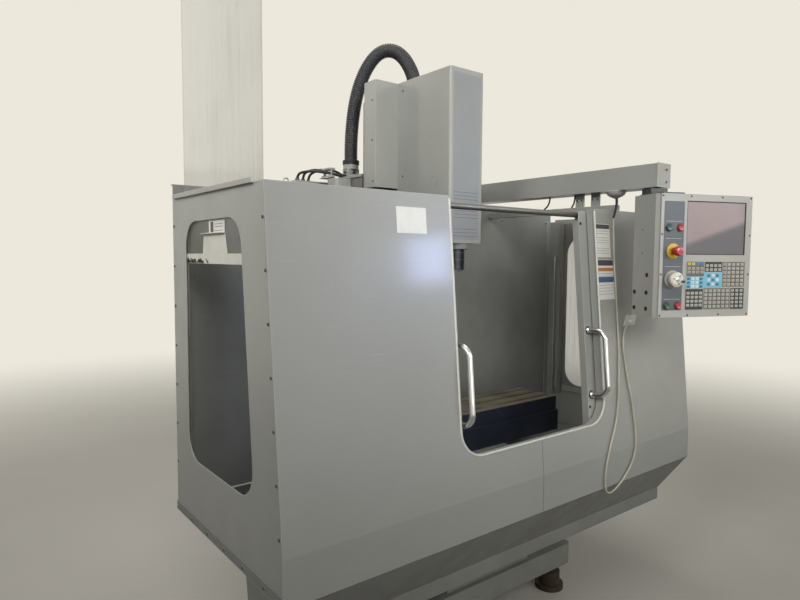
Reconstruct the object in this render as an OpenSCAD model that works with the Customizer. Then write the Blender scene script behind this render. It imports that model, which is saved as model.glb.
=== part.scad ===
// Vertical machining center with an open-topped sheet steel enclosure.
// Frame: +X to the operator's right, +Y from the operator into the machine, +Z up.
// Origin: on the floor, in the middle of the four levelling feet. Millimetres.

/* [Enclosure] */
// Width of the enclosure over its front panels
enc_w = 2100; // [1900:10:2400]
// Height of the enclosure's front and side panels
enc_top = 1680; // [1600:5:1800]
// Depth from the front face to the back wall
enc_depth = 826; // [800:2:900]
// Height where the front panel starts to lean back
fold_top = 690; // [640:5:740]
// Height of the bottom edge of the front panel, where the apron starts
fold_low = 555; // [530:5:600]
// Distance the front panel's top edge leans back
lean_run = 93; // [40:1:130]
// Sheet steel thickness
sheet_t = 3; // [2:0.5:4]
// Width of the folded edges of the sheets
flange_w = 28; // [20:1:34]
// Height of the back wall
back_top = 1732; // [1690:2:1800]
// Half width of the gap in the back wall that the head passes
back_gap = 230; // [220:1:300]

/* [Front opening] */
// Half width of the front opening
open_half = 400; // [350:5:480]
// Height of the sill of the front opening
sill_z = 819; // [790:1:900]
// Corner radius of the front opening
open_r = 100; // [60:5:140]
// Depth of the folded edge around the front opening
open_return = 40; // [30:1:42]

/* [Doors] */
// Width of one door
door_w = 420; // [360:5:460]
// Thickness of a door over its folded edges
door_t = 30; // [30:1:36]
// How far an open door stands out into the opening
door_lead = 50; // [46:1:60]
// Diameter of the round rail that the doors hang on
rail_d = 22; // [16:1:22]
// Diameter of the handle tube
handle_d = 20; // [14:1:24]
// Height of a handle between its feet
handle_h = 262; // [180:2:320]
// Distance the handle stands off the door
handle_reach = 78; // [60:1:90]
// Height of the lower foot of a handle above the sill, along the panel
handle_z = 112; // [100:1:160]

/* [Side windows] */
// Height of the lower edge of a side window opening
win_z0 = 784; // [760:2:900]
// Height of the upper edge of a side window opening
win_z1 = 1593; // [1500:1:1600]
// Distance from the front face to the front edge of a side window opening, at its top
win_d0 = 252; // [245:1:300]
// Distance from the front face to the rear edge of a side window opening
win_d1 = 703; // [620:1:704]
// Corner radius of a side window opening
win_r = 90; // [40:1:120]
// Thickness of the clear sheet in a side window
pane_t = 5; // [4:0.5:6]
// Distance that a side window slides up
win_lift = 710; // [500:5:710]

/* [Base and column] */
// Width of the base casting
base_w = 1006; // [940:2:1100]
// Height of the levelling feet under the base casting
foot_h = 115; // [90:1:140]
// Thickness of the base casting's plinth
plinth_h = 90; // [60:1:110]
// Spacing of the levelling feet from left to right
foot_x = 860; // [800:5:900]
// Spacing of the levelling feet from front to back
foot_y = 1000; // [900:10:1040]
// Width of the column
col_w = 400; // [380:5:440]
// Depth of the column
col_d = 240; // [200:5:300]
// Height of the column's top
col_top = 1836; // [1800:2:1900]

/* [Table] */
// Length of the table
table_l = 1213; // [1000:1:1240]
// Depth of the table's top
table_d = 230; // [220:1:270]
// Height of the table's top
table_z = 820; // [800:1:860]
// Thickness of the table's top, down to the ledge
table_t = 66; // [50:1:72]
// Height of the table's lower block
table_low = 96; // [90:1:100]
// Width of a T-slot at the table's top
slot_w = 16; // [12:1:18]
// Spacing of the T-slots
slot_pitch = 74; // [60:1:80]

/* [Head] */
// Width of the head's front cover
head_w = 185; // [175:1:220]
// Height of the head cover's top
head_top = 2232; // [2200:2:2300]
// Height of the head cover's lower edge
head_low = 1538; // [1500:2:1600]
// Distance from the column's front to the spindle's axis
spindle_reach = 392; // [380:1:400]
// Radius of the spindle nose
nose_r = 40; // [30:1:44]
// Length of the spindle nose below the head
nose_l = 109; // [60:1:140]

/* [Pendant] */
// Width of the control pendant
pend_w = 425; // [415:5:460]
// Height of the control pendant
pend_h = 461; // [455:1:500]
// Depth of the control pendant
pend_d = 140; // [124:2:150]
// Angle that the pendant is turned to face the operator
pend_turn = -22; // [-30:1:0]
// Width of the pendant's arm
arm_w = 92; // [84:2:110]
// Height of the pendant's arm
arm_h = 92; // [84:1:110]
// Height of the arm's underside
arm_z = 1760; // [1750:1:1790]

/* [Hidden] */
$fn = 48;
eps = 0.01;
gap = 0.3;

// Paint and metal colours
panel_grey = [0.62, 0.62, 0.60];
cast_grey = [0.55, 0.56, 0.54];
dark_grey = [0.28, 0.30, 0.31];
navy = [0.13, 0.15, 0.22];
steel = [0.70, 0.70, 0.68];
chrome = [0.85, 0.85, 0.86];
rubber = [0.08, 0.08, 0.09];
clear = [0.80, 0.82, 0.80, 0.4];

// Places that follow from the driving sizes. Depths count back from the front face.
front_y = -800;
half_w = enc_w / 2;
lean_a = atan(lean_run / (enc_top - fold_top));
lean_len = sqrt(pow(lean_run, 2) + pow(enc_top - fold_top, 2));
side_x = half_w - 2 * sheet_t;
pan_h = 33;
sill_l = (sill_z - fold_top) / cos(lean_a);

// Door and rail, in the leaning frame of the front panel
door_y = open_return + 4;
door_skin = 2;
rail_r = rail_d / 2;
rail_y = door_y + door_t / 2 + 1;
rail_drop = 19;
rail_z = lean_len - rail_drop;
door_z = sill_l - 30;
door_x = open_half - door_lead;

// Side windows: the clear sheet, its guides and its pull
pane_x = side_x - 5 - pane_t;
pane_d0 = win_d0 - 128;
pane_d1 = win_d1 + 27;
pane_z0 = win_z0 - 39;
pane_h = 920;
win_lean = (win_z1 - win_z0) * tan(lean_a);
slim_rod_d = win_d1 + 69;
rod_span = 735;
pull_d0 = 360;
pull_d1 = 560;
pull_h = 96;
lip_d0 = 157;
lip_d1 = 800;
front_flange_w = 20;

// Base, column, saddle and table
base_d0 = 240;
base_d1 = 1400;
plinth_top = foot_h + plinth_h;
bed_w = 460;
bed_d0 = 260;
bed_top = fold_low + 10;
col_d0 = 880;
col_z0 = plinth_top;
guide_w = 34;
guide_t = 20;
screw_r = 12.5;
fit = 0.1;
table_x = 25;
table_mid = 555;
block_low = table_z - table_t - table_low;
ledge = 10;
saddle_w = 520;
saddle_l = 300;
x_screw_z = block_low + 34;
y_screw_z = bed_top - 70;
z_screw_d = col_d0 + 50;

// Head and spindle
spindle_d = col_d0 - spindle_reach;
head_d0 = spindle_d - 64;
head_d1 = col_d0 - 117;
rear_d1 = col_d0 - 32;
rear_half = 210;
rear_low = 1780;
motor_half = 72;
motor_l = 188;
motor_h = 240;
motor_r = 62;
motor_end_h = 80;
cover_t = 2.5;
carriage_d = col_d0 - guide_t - gap;
carriage_t = 24;
flange_r = 59;
flange_h = 23;
shaft_r = 35;
shaft_top = rear_low - 20;
nut_half = 35;
nut_z = 1650;
nut_h = 50;
taper_r0 = 22.2;
taper_r1 = 13;
taper_l = 66;

// Arm, pendant and what hangs from them
pivot_x = 562;
arm_x = pivot_x - arm_w / 2;
arm_d0 = -105;
arm_d1 = 990;
pivot_d = arm_d0 + 47;
neck_h = 39;
boss_r = 30;
boss_h = 3;
pend_x0 = -112;
pend_y0 = -48 - pend_d;
neck_reach = 82;
pend_z0 = arm_z - neck_h - pend_h;
swivel_x = 545;
swivel_d = 92;
swivel_h = 30;
face_t = 6;
case_t = 3;
bar_w = 30;
bar_z0 = enc_top + gap;
bar_z1 = enc_top + 24;

// Column top, cabinet and conduit
cap_t = 12;
cap_top = col_top + cap_t;
cab_w = 800;
cab_d0 = col_d0 + col_d;
cab_d = 300;
cab_z0 = 560;
cab_z1 = 1828;
conduit_r = 31;
socket_h = 26;
junction_w = 92;
junction_drop = 136;
gland_h = 20;
gland_x = 35;
gland_d = rear_d1 - 38;

// Routes of the hoses and cables, as [X, depth behind the front face, Z]
HOSE = [[508, 77, 1645], [509, 73, 1556], [506, 64, 1457], [507, 56, 1370], [506, 48, 1288], [505, 33, 1123],
    [498, 25, 1041], [484, 14, 919], [466, 6, 840], [442, 0, 783], [406, -6, 717], [382, -9, 652],
    [374, -9, 592], [378, -9, 556], [391, -9, 538], [412, -9, 532], [440, -9, 537], [482, -9, 556],
    [531, -9, 592], [571, -9, 635], [590, -8, 687], [595, -4, 736], [588, 4, 822], [573, 12, 908],
    [554, 21, 993], [540, 28, 1078], [537, 32, 1120], [545, 36, 1161], [564, 39, 1191], [588, 40, 1212]];
GUARD = [[545, 88, 1730], [540, 84, 1708], [528, 80, 1684], [517, 78, 1663], [508, 77, 1645]];
CONDUIT = [[-150, 1045, 1914], [-150, 1045, 1975], [-148, 1043, 2050], [-143, 1037, 2130],
    [-134, 1027, 2210], [-119, 1010, 2286], [-98, 985, 2352], [-71, 954, 2401], [-41, 920, 2422],
    [-11, 886, 2414], [13, 856, 2382], [28, 832, 2338], [34, 816, 2300], [35, 810.5, 2276],
    [35, 810, 2252.4]];
CABLES = [
    [[-330, 1180, 1828], [-330, 1178, 1846], [-326, 1160, 1870], [-300, 1115, 1880], [-260, 1075, 1868],
        [-222, 1054, 1857], [-192, 1050, 1854]],
    [[-290, 1200, 1828], [-290, 1198, 1848], [-284, 1176, 1872], [-250, 1135, 1888], [-190, 1120, 1884],
        [-146, 1112, 1864], [-130, 1098, 1855], [-130, 1085, 1854]],
    [[-370, 1160, 1828], [-370, 1158, 1846], [-364, 1136, 1864], [-330, 1080, 1868], [-270, 1040, 1860],
        [-225, 1027, 1855], [-192, 1025, 1854]]];
cable_r = 6;
ARM_CABLES = [
    [[562, 448, 1760], [562, 449, 1744], [562, 459, 1723], [562, 474, 1710], [562, 484, 1704]],
    [[562, 309, 1760], [562, 309.5, 1744], [562, 314.5, 1723], [562, 322, 1711], [562, 327, 1704]]];

// Turns a depth behind the front face into a Y place
function fy(d) = front_y + d;

// Depth of the front panel's inner face at a height, with a fitting clearance
function inner_d(z) = sheet_t + gap + max(0, z - fold_top) * tan(lean_a);

function unit(v) = v / norm(v);

// A convex outline, counter-clockwise, with every corner rounded to radius r
function rounded(pts, r, steps = 8) = [
    for (i = [0 : len(pts) - 1])
        let (p = pts[i],
            a = unit(pts[(i + len(pts) - 1) % len(pts)] - p),
            b = unit(pts[(i + 1) % len(pts)] - p),
            half = acos(a * b) / 2,
            c = p + unit(a + b) * r / sin(half),
            n = p + a * r / tan(half) - c,
            start = atan2(n.y, n.x))
        for (k = [0 : steps])
            c + r * [cos(start + (180 - 2 * half) * k / steps), sin(start + (180 - 2 * half) * k / steps)]];

// Corners of a rectangle
function rect(x0, y0, x1, y1) = [[x0, y0], [x1, y0], [x1, y1], [x0, y1]];

// Points of a Catmull-Rom curve through a route, n to each stretch
function route_y(pts) = [for (p = pts) [p.x, fy(p.y), p.z]];
function curve(pts, n) = concat([
    for (i = [0 : len(pts) - 2])
        let (p0 = pts[max(i - 1, 0)], p1 = pts[i], p2 = pts[i + 1], p3 = pts[min(i + 2, len(pts) - 1)])
        for (k = [0 : n - 1])
            let (t = k / n)
            0.5 * (2 * p1 + (p2 - p0) * t + (2 * p0 - 5 * p1 + 4 * p2 - p3) * t * t
                + (3 * p1 - p0 - 3 * p2 + p3) * t * t * t)], [pts[len(pts) - 1]]);

// A closed tube swept along a route; side is a direction that the route never runs in
module tube(pts, r, sides = 8, n = 2, side = [0, 1, 0]) {
    path = curve(route_y(pts), n);
    last = len(path) - 1;
    function dir(i) = unit(path[min(i + 1, last)] - path[max(i - 1, 0)]);
    rings = [
        for (i = [0 : last])
            let (u = unit(cross(dir(i), side)), v = cross(dir(i), u))
            for (k = [0 : sides - 1]) path[i] + r * (u * cos(360 * k / sides) + v * sin(360 * k / sides))];
    walls = [
        for (i = [0 : last - 1])
            for (k = [0 : sides - 1])
                let (a = i * sides + k, b = i * sides + (k + 1) % sides)
                [a, a + sides, b + sides, b]];
    polyhedron(rings, concat(walls, [[for (k = [0 : sides - 1]) k],
        [for (k = [sides - 1 : -1 : 0]) last * sides + k]]), convexity = 8);
}

// An XZ outline made into a plate from y0 to y1, and a YZ outline made into one from x0 to x1
module plate_xz(y0, y1) { translate([0, y1, 0]) rotate([90, 0, 0]) linear_extrude(y1 - y0) children(); }
module plate_yz(x0, x1) { translate([x0, 0, 0]) rotate([90, 0, 90]) linear_extrude(x1 - x0) children(); }

// A box given by its low and high corners, with Y as a depth behind the front face
module block(x0, d0, z0, x1, d1, z1) { translate([x0, fy(d0), z0]) cube([x1 - x0, d1 - d0, z1 - z0]); }

// The same box on the right and mirrored on the left
module both() {
    children();
    mirror([1, 0, 0]) children();
}

// The front panel's frame: Y runs square into the leaning sheet and Z up along it
module lean() { translate([0, front_y, fold_top]) rotate([-lean_a, 0, 0]) children(); }

// A rod along Z, Y or X between two places
module rod_z(x, d, z0, z1, r) { translate([x, fy(d), z0]) cylinder(r = r, h = z1 - z0); }
module rod_y(x, z, d0, d1, r) { translate([x, fy(d0), z]) rotate([-90, 0, 0]) cylinder(r = r, h = d1 - d0); }
module rod_x(d, z, x0, x1, r) { translate([x0, fy(d), z]) rotate([0, 90, 0]) cylinder(r = r, h = x1 - x0); }

// Base

module base_casting() color(cast_grey) difference() {
    union() {
        translate([0, 0, foot_h]) linear_extrude(plinth_h)
            polygon(rounded(rect(-base_w / 2, fy(base_d0), base_w / 2, fy(base_d1)), 24, 6));
        block(-bed_w / 2, bed_d0, plinth_top - eps, bed_w / 2, col_d0, bed_top);
    }
    block(-45, bed_d0 + 30, y_screw_z - 40, 45, col_d0 - 30, bed_top + eps);
    rod_y(0, y_screw_z, bed_d0 + 15, col_d0 - 15, screw_r + fit);
}

module levelling_feet() color([0.42, 0.30, 0.22]) for (sx = [-1, 1], sy = [-1, 1])
    translate([sx * foot_x / 2, sy * foot_y / 2, 0]) {
        cylinder(r = 62, h = 22);
        cylinder(r = 46, h = 78);
        translate([0, 0, 78 - eps]) cylinder(r = 16, h = foot_h - 78 + eps);
        translate([0, 0, 90]) cylinder(r = 27, h = 20, $fn = 6);
    }

module column() color(cast_grey) {
    difference() {
        block(-col_w / 2, col_d0, col_z0, col_w / 2, col_d0 + col_d, col_top);
        block(-col_w / 2 + 35, col_d0 + 122, 320, col_w / 2 - 35, col_d0 + col_d - 35, col_top + eps);
        block(-50, col_d0 - eps, bed_top + 60, 50, col_d0 + 92, col_top - 46);
        rod_z(0, z_screw_d, bed_top + 40, col_top + eps, screw_r + fit);
    }
    both() block(col_w / 2 - 50 - guide_w, col_d0 - guide_t, bed_top + 140, col_w / 2 - 50, col_d0 + eps,
        col_top - 10);
}

// The cap plate carries the Z motor and the clamp that holds the conduit's end
module column_cap() color(panel_grey) {
    x = CONDUIT[0].x;
    d = CONDUIT[0].y;
    end = CONDUIT[0].z;
    difference() {
        block(-col_w / 2 - 6, col_d0 + 2, col_top, col_w / 2 + 6, cab_d0 - 4, cap_top);
        rod_z(0, z_screw_d, col_top - 1, cap_top + 1, screw_r + 1);
    }
    block(x - 42, d - 40, cap_top - eps, x + 42, d + 40, cap_top + 12);
    block(x - 30, d - 24, cap_top + 12 - eps, x + 30, d + 24, end - socket_h + eps);
    rod_z(x, d, end - socket_h, end, conduit_r + 5);
    translate([0, 0, col_top - junction_drop]) linear_extrude(junction_drop - 6)
        polygon(rounded(rect(-col_w / 2 - junction_w, fy(col_d0 + 75), -col_w / 2, fy(col_d0 + 152)), 16, 5));
}

module z_motor() color(dark_grey) {
    block(-65, z_screw_d - 65, cap_top, 65, z_screw_d + 65, cap_top + 130);
    rod_z(0, z_screw_d, cap_top + 130 - eps, cap_top + 168, 46);
}

// Electrical cabinet on the back of the column

hinge_x = cab_w / 2 + 9;
hinge_d = cab_d0 + cab_d + 9;
hinge_r = 8;
HINGE_Z = [cab_z0 + 150, cab_z1 - 150];

module control_cabinet() color(panel_grey) {
    difference() {
        block(-cab_w / 2, cab_d0, cab_z0, cab_w / 2, cab_d0 + cab_d, cab_z1);
        block(-cab_w / 2 + 4, cab_d0 + 4, cab_z0 + 4, cab_w / 2 - 4, cab_d0 + cab_d + eps, cab_z1 - 4);
    }
    for (z = HINGE_Z) {
        for (low = [z - 40, z + 20]) {
            block(cab_w / 2 - eps, cab_d0 + cab_d - 16, low, hinge_x, cab_d0 + cab_d, low + 20);
            block(cab_w / 2 + gap, cab_d0 + cab_d - eps, low, hinge_x, hinge_d, low + 20);
            rod_z(hinge_x, hinge_d, low, low + 20, hinge_r);
        }
        rod_z(hinge_x, hinge_d, z - 21, z + 21, 3);
    }
}

module cabinet_door() color(panel_grey) {
    y0 = cab_d0 + cab_d + 1;
    difference() {
        block(-cab_w / 2, y0, cab_z0, cab_w / 2, y0 + 22, cab_z1);
        block(-cab_w / 2 + 3, y0 - eps, cab_z0 + 3, cab_w / 2 - 3, y0 + 19, cab_z1 - 3);
    }
    rod_y(-cab_w / 2 + 60, (cab_z0 + cab_z1) / 2, y0 + 22 - eps, y0 + 34, 26);
    block(-cab_w / 2 + 50, y0 + 34 - eps, (cab_z0 + cab_z1) / 2 - 50, -cab_w / 2 + 70, y0 + 52,
        (cab_z0 + cab_z1) / 2 + 50);
    for (z = HINGE_Z) difference() {
        union() {
            block(cab_w / 2 - eps, hinge_d - 4, z - 19.5, hinge_x, hinge_d + 4, z + 19.5);
            rod_z(hinge_x, hinge_d, z - 19.5, z + 19.5, hinge_r);
        }
        rod_z(hinge_x, hinge_d, z - 20, z + 20, 3 + fit);
    }
}

// Chip pan, apron and lower beam

module chip_pan() color(panel_grey) {
    back = enc_depth + sheet_t + gap;
    side = side_x + sheet_t;
    difference() {
        block(-half_w, sheet_t + gap, fold_low, half_w, back + sheet_t, fold_low + sheet_t);
        block(-bed_w / 2 - 2, bed_d0 - 2, fold_low - 1, bed_w / 2 + 2, back + sheet_t + 1, fold_low + pan_h);
    }
    both() block(side, sheet_t + gap, fold_low + sheet_t - eps, half_w, back + sheet_t, fold_low + pan_h);
    both() block(back_gap + sheet_t + gap, back, fold_low + sheet_t - eps, half_w, back + sheet_t,
        fold_low + pan_h);
    block(-side_x + sheet_t + gap, sheet_t + gap, fold_low + sheet_t - eps, side_x - sheet_t - gap,
        2 * sheet_t + gap, fold_low + pan_h);
}

apron_d = 141;
apron_z = 363;
apron_lip_d = 230;
beam_h = 55;
beam_d = 55;
beam_wall = 4;

module front_apron() color(panel_grey) {
    top = fold_low - gap;
    plate_yz(-half_w, half_w) polygon([[fy(0), top], [fy(apron_d), apron_z], [fy(apron_d + beam_d), apron_z],
        [fy(apron_d + beam_d), apron_z + sheet_t], [fy(apron_d + 2), apron_z + sheet_t],
        [fy(sheet_t + 2.5), top - sheet_t], [fy(apron_lip_d), top - sheet_t], [fy(apron_lip_d), top]]);
    both() plate_yz(half_w - sheet_t, half_w)
        polygon([[fy(0), top], [fy(apron_d), apron_z], [fy(apron_d + beam_d), apron_z],
            [fy(apron_lip_d), top]]);
}

module front_beam() color(panel_grey) difference() {
    block(-half_w, apron_d, apron_z - beam_h, half_w, apron_d + beam_d, apron_z);
    block(-half_w - 1, apron_d + beam_wall, apron_z - beam_h + beam_wall, half_w + 1,
        apron_d + beam_d - beam_wall, apron_z - beam_wall);
}

// Front panels: each is one folded sheet, from the seam at the middle to the corner

// Outline of the front opening, grown outward by a distance
function opening(grow) =
    rounded(rect(-open_half - grow, sill_l - grow, open_half + grow, lean_len + 3 * open_r),
        open_r + grow, 12);

module front_panel() color(panel_grey) {
    seam = 0.5;
    lean() {
        difference() {
            translate([seam, 0, 0]) cube([half_w - seam, sheet_t, lean_len]);
            plate_xz(-1, sheet_t + 1) polygon(opening(0));
        }
        intersection() {
            translate([seam, 0, 0]) cube([half_w, open_return, lean_len]);
            plate_xz(0, open_return) difference() {
                polygon(opening(sheet_t));
                polygon(opening(0));
            }
        }
        translate([side_x - sheet_t, 0, 0]) cube([sheet_t, front_flange_w, lean_len]);
        translate([open_half, 0, lean_len - sheet_t])
            cube([side_x - gap - open_half, front_flange_w, sheet_t]);
    }
    block(seam, 0, fold_low, half_w, sheet_t, fold_top + eps);
    block(side_x - sheet_t, 0, fold_low + sheet_t + gap, side_x, front_flange_w, fold_top + eps);
}

module right_front_panel() front_panel();
module left_front_panel() mirror([1, 0, 0]) front_panel();

// Side panels with a window opening and a folded guide lip at the top

module side_panel() color(panel_grey) {
    bottom = fold_low + sheet_t + gap;
    difference() {
        plate_yz(side_x, side_x + sheet_t) polygon([[fy(inner_d(bottom)), bottom], [fy(enc_depth), bottom],
            [fy(enc_depth), enc_top], [fy(inner_d(enc_top)), enc_top], [fy(inner_d(fold_top)), fold_top]]);
        plate_yz(side_x - 1, side_x + sheet_t + 1) polygon(rounded([[fy(win_d0 - win_lean), win_z0],
            [fy(win_d1), win_z0], [fy(win_d1), win_z1], [fy(win_d0), win_z1]], win_r));
    }
    block(side_x - flange_w, enc_depth - sheet_t, bottom, side_x + eps, enc_depth, enc_top);
    block(side_x + sheet_t - eps, lip_d0, enc_top - sheet_t, side_x + sheet_t + 10, lip_d1, enc_top);
    block(side_x + sheet_t + 8, lip_d0, enc_top - eps, side_x + sheet_t + 10, lip_d1, enc_top + 12);
}

module right_side_panel() side_panel();
module left_side_panel() mirror([1, 0, 0]) side_panel();

module back_panels() color(panel_grey) both() {
    bottom = fold_low + sheet_t + gap;
    block(back_gap, enc_depth, bottom, side_x + sheet_t, enc_depth + sheet_t, back_top);
    block(back_gap, enc_depth, bottom, back_gap + sheet_t, enc_depth + flange_w, back_top);
    block(back_gap, enc_depth, back_top - sheet_t, side_x + sheet_t, enc_depth + flange_w - 8, back_top);
}

// Guides of a side window: two grooved channels with stops, and a slim rod beside them

module window_guides() color(steel) {
    difference() {
        for (d = [pane_d0 - 10, pane_d1 - 10])
            block(pane_x - 4, d, pane_z0 - 12, side_x, d + 20, enc_top - 10);
        block(pane_x - gap, pane_d0 - 2, pane_z0 - gap, pane_x + pane_t + gap, pane_d1 + 2, enc_top);
    }
    for (z = [pane_z0, pane_z0 + rod_span]) {
        block(side_x - 26, slim_rod_d - 6, z - 8, side_x, slim_rod_d + 6, z + 8);
        rod_z(side_x - 20, slim_rod_d, z - 14, z + 14, 9);
    }
    rod_z(side_x - 20, slim_rod_d, pane_z0, pane_z0 + rod_span, 5);
}

module right_window_guides() window_guides();
module left_window_guides() mirror([1, 0, 0]) window_guides();

// Clear sheet of a side window, lowered
module window_sheet() block(pane_x, pane_d0, pane_z0, pane_x + pane_t, pane_d1, pane_z0 + pane_h);

// Lower edge of the sheet with its finger pull
module window_pull_shape() {
    x = pane_x + pane_t;
    block(x, pane_d0 + 14, pane_z0, x + 1.5, pane_d1 - 14, pane_z0 + 32);
    high = pane_z0 + pull_h;
    plate_yz(x, x + 1.5) polygon([[fy(pull_d0), pane_z0 + 31], [fy(pull_d1), pane_z0 + 31],
        [fy(pull_d1 - 12), high], [fy(pull_d0 + 18), high]]);
    block(x, pull_d0 + 16, high - 2, x + 12, pull_d1 - 10, high + 0.5);
}

module right_window() color(clear) window_sheet();
module right_window_pull() color([0.88, 0.88, 0.85]) window_pull_shape();
module left_window() color(clear) translate([0, 0, win_lift]) mirror([1, 0, 0]) window_sheet();
module left_window_pull() color([0.88, 0.88, 0.85]) translate([0, 0, win_lift]) mirror([1, 0, 0])
    window_pull_shape();

// Door rail and lower track

// The rail ends in blocks on the front panels, inside the windows' channels
rail_half = pane_x - 10;

module door_rail() color(steel) lean() {
    translate([-rail_half, rail_y, rail_z]) rotate([0, 90, 0]) cylinder(r = rail_r, h = 2 * rail_half);
    both() translate([rail_half - 24, sheet_t, rail_z - rail_r - 3])
        cube([24, rail_y - sheet_t, 2 * rail_r + 6]);
}

module door_track() color(panel_grey) lean() {
    w = side_x - sheet_t - 1;
    translate([-w, sheet_t, door_z - 22]) cube([2 * w, door_y + door_t + 3 - sheet_t, sheet_t]);
    translate([-w, door_y - 3.5, door_z - 22]) cube([2 * w, 2.5, 30]);
    translate([-w, door_y + door_t + 0.5, door_z - 22]) cube([2 * w, 2.5, 30]);
}

// Sliding doors: a folded skin with a window, hung on the rail by two bored blocks

module door() color(panel_grey) lean() translate([door_x, 0, 0]) {
    top = rail_z - rail_r - 13;
    difference() {
        translate([0, door_y, door_z]) cube([door_w, door_skin, lean_len - 8 - door_z]);
        plate_xz(door_y - 1, door_y + door_skin + 1)
            polygon(rounded(rect(80, sill_l + 60, door_w - 60, rail_z - 100), 40));
    }
    for (x = [0, door_w - door_skin]) translate([x, door_y, door_z]) cube([door_skin, door_t, top - door_z]);
    translate([0, door_y, door_z]) cube([door_w, door_t, door_skin]);
    for (x = [16, door_w - 56]) difference() {
        translate([x, door_y + door_skin - eps, rail_z - rail_r - 9])
            cube([40, door_t - door_skin + eps, 2 * rail_r + 13]);
        translate([x - 1, rail_y, rail_z]) rotate([0, 90, 0]) cylinder(r = rail_r + gap, h = 42);
    }
}

module door_pane() color(clear) lean() translate([door_x + 65, door_y + door_skin, sill_l + 45])
    cube([door_w - 110, 4, rail_z - 85 - sill_l - 45]);

module door_handle() color(chrome) lean() translate([open_half - door_lead / 2, door_y, sill_l + handle_z]) {
    r = handle_d / 2;
    bend = 46;
    for (z = [0, handle_h]) translate([0, 0, z]) rotate([90, 0, 0]) {
        cylinder(r = r, h = handle_reach - bend);
        cylinder(r = r + 5, h = 4);
    }
    translate([0, -handle_reach, bend]) cylinder(r = r, h = handle_h - 2 * bend);
    translate([0, bend - handle_reach, bend]) rotate([90, 90, 90])
        rotate_extrude(angle = -90, $fn = 32) translate([bend, 0]) circle(r = r, $fn = 24);
    translate([0, bend - handle_reach, handle_h - bend]) rotate([90, -90, 90]) mirror([0, 1, 0])
        rotate_extrude(angle = -90, $fn = 32) translate([bend, 0]) circle(r = r, $fn = 24);
}

module right_door() door();
module right_door_pane() door_pane();
module right_door_handle() door_handle();
module left_door() mirror([1, 0, 0]) door();
module left_door_pane() mirror([1, 0, 0]) door_pane();
module left_door_handle() mirror([1, 0, 0]) door_handle();

// Screw heads along the edges of the side panels, the pan and the back wall

module enclosure_bolts() color([0.35, 0.35, 0.36]) both() {
    x = side_x + sheet_t;
    for (i = [0 : 6]) {
        z = fold_low + 183 + i * (enc_top - fold_low - 279) / 6;
        rod_x(inner_d(z) + 15, z, x, x + 3, 6);
        rod_x(enc_depth - 10, z, x, x + 3, 6);
    }
    for (i = [0 : 5]) rod_x(112 + i * (enc_depth - 126) / 5, fold_low + 14, half_w, half_w + 3, 6);
    for (i = [0 : 4]) rod_y(back_gap + 60 + i * (side_x - back_gap - 100) / 4, back_top - 60, enc_depth - 3,
        enc_depth, 6);
    for (i = [0 : 3]) rod_y(side_x - 16, fold_low + 150 + i * 300, enc_depth + sheet_t,
        enc_depth + sheet_t + 3, 6);
}

// Pendant arm: a box beam over the right side, tied to the column and propped on a bar

module pendant_arm() color(panel_grey) difference() {
    union() {
        block(arm_x, arm_d0, arm_z, arm_x + arm_w, arm_d1, arm_z + arm_h);
        block(col_w / 2, arm_d1 - 100, arm_z, arm_x + eps, arm_d1, col_top - 6);
        block(arm_x - 2, arm_d0 - 3, arm_z, arm_x + arm_w + 2, arm_d0 + eps, arm_z + arm_h + 2);
        for (z = [22, arm_h - 22]) rod_y(arm_x + arm_w - 34, arm_z + z, arm_d0 - 6, arm_d0, 5);
    }
    block(arm_x + 4, arm_d0 + 4, arm_z + 4, arm_x + arm_w - 4, arm_d1 - 110, arm_z + arm_h - 4);
}

module arm_support() color(panel_grey) {
    block(pivot_x - bar_w / 2, inner_d(enc_top) - sheet_t, bar_z0, pivot_x + bar_w / 2, enc_depth, bar_z1);
    for (d = [180, 260]) block(pivot_x - 4, d, bar_z1 - eps, pivot_x + 4, d + 42, arm_z);
}

module hose_swivel() color(dark_grey) {
    rod_z(swivel_x, swivel_d, arm_z - 14, arm_z, 41);
    rod_z(swivel_x, swivel_d, arm_z - swivel_h, arm_z - 14 + eps, 28);
}

module hose_guard() color(rubber) tube(GUARD, 6, 8, 3, [0, 1, 0]);
module air_hose() color([0.85, 0.86, 0.84]) tube(HOSE, 4, 8, 2);

// A plate on the front panel with an upturned finger that holds the end of the hose
hook_x = 606;
hook_z = 1219;

module hose_hook() color([0.92, 0.92, 0.90]) {
    translate([hook_x, fy((hook_z - fold_top) * tan(lean_a)), hook_z]) rotate([-lean_a, 0, 0]) {
        plate_xz(-2.5, -gap) polygon([[-48, -22], [34, -22], [56, 22], [-26, 22]]);
        translate([-6, -15, -8]) cube([12, 12.51, 6]);
        translate([-6, -18, -8]) cube([12, 3.01, 20]);
    }
}

module loose_cables() color(rubber) {
    for (route = ARM_CABLES) tube(route, 4.5, 8, 3, [1, 0, 0]);
    for (route = CABLES) tube(route, cable_r, 8, 3, [0.5, 0.5, -0.7]);
}

// Conduit from the column to the head

module head_conduit() color(rubber) tube(CONDUIT, conduit_r, 12, 2, [0.8, 0.6, 0]);

// Saddle, table and the screws that drive them

module saddle() color(cast_grey) difference() {
    union() {
        block(-saddle_w / 2, table_mid - saddle_l / 2, bed_top + gap, saddle_w / 2, table_mid + saddle_l / 2,
            block_low - gap);
        block(-30, table_mid - 20, y_screw_z - 26, 30, table_mid + 20, bed_top + 1);
        block(-30, table_mid - 26, block_low - 1, 30, table_mid + 26, x_screw_z + 24);
    }
    rod_y(0, y_screw_z, table_mid - 21, table_mid + 21, screw_r + fit);
    rod_x(table_mid, x_screw_z, -31, 31, screw_r + fit);
}

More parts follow.
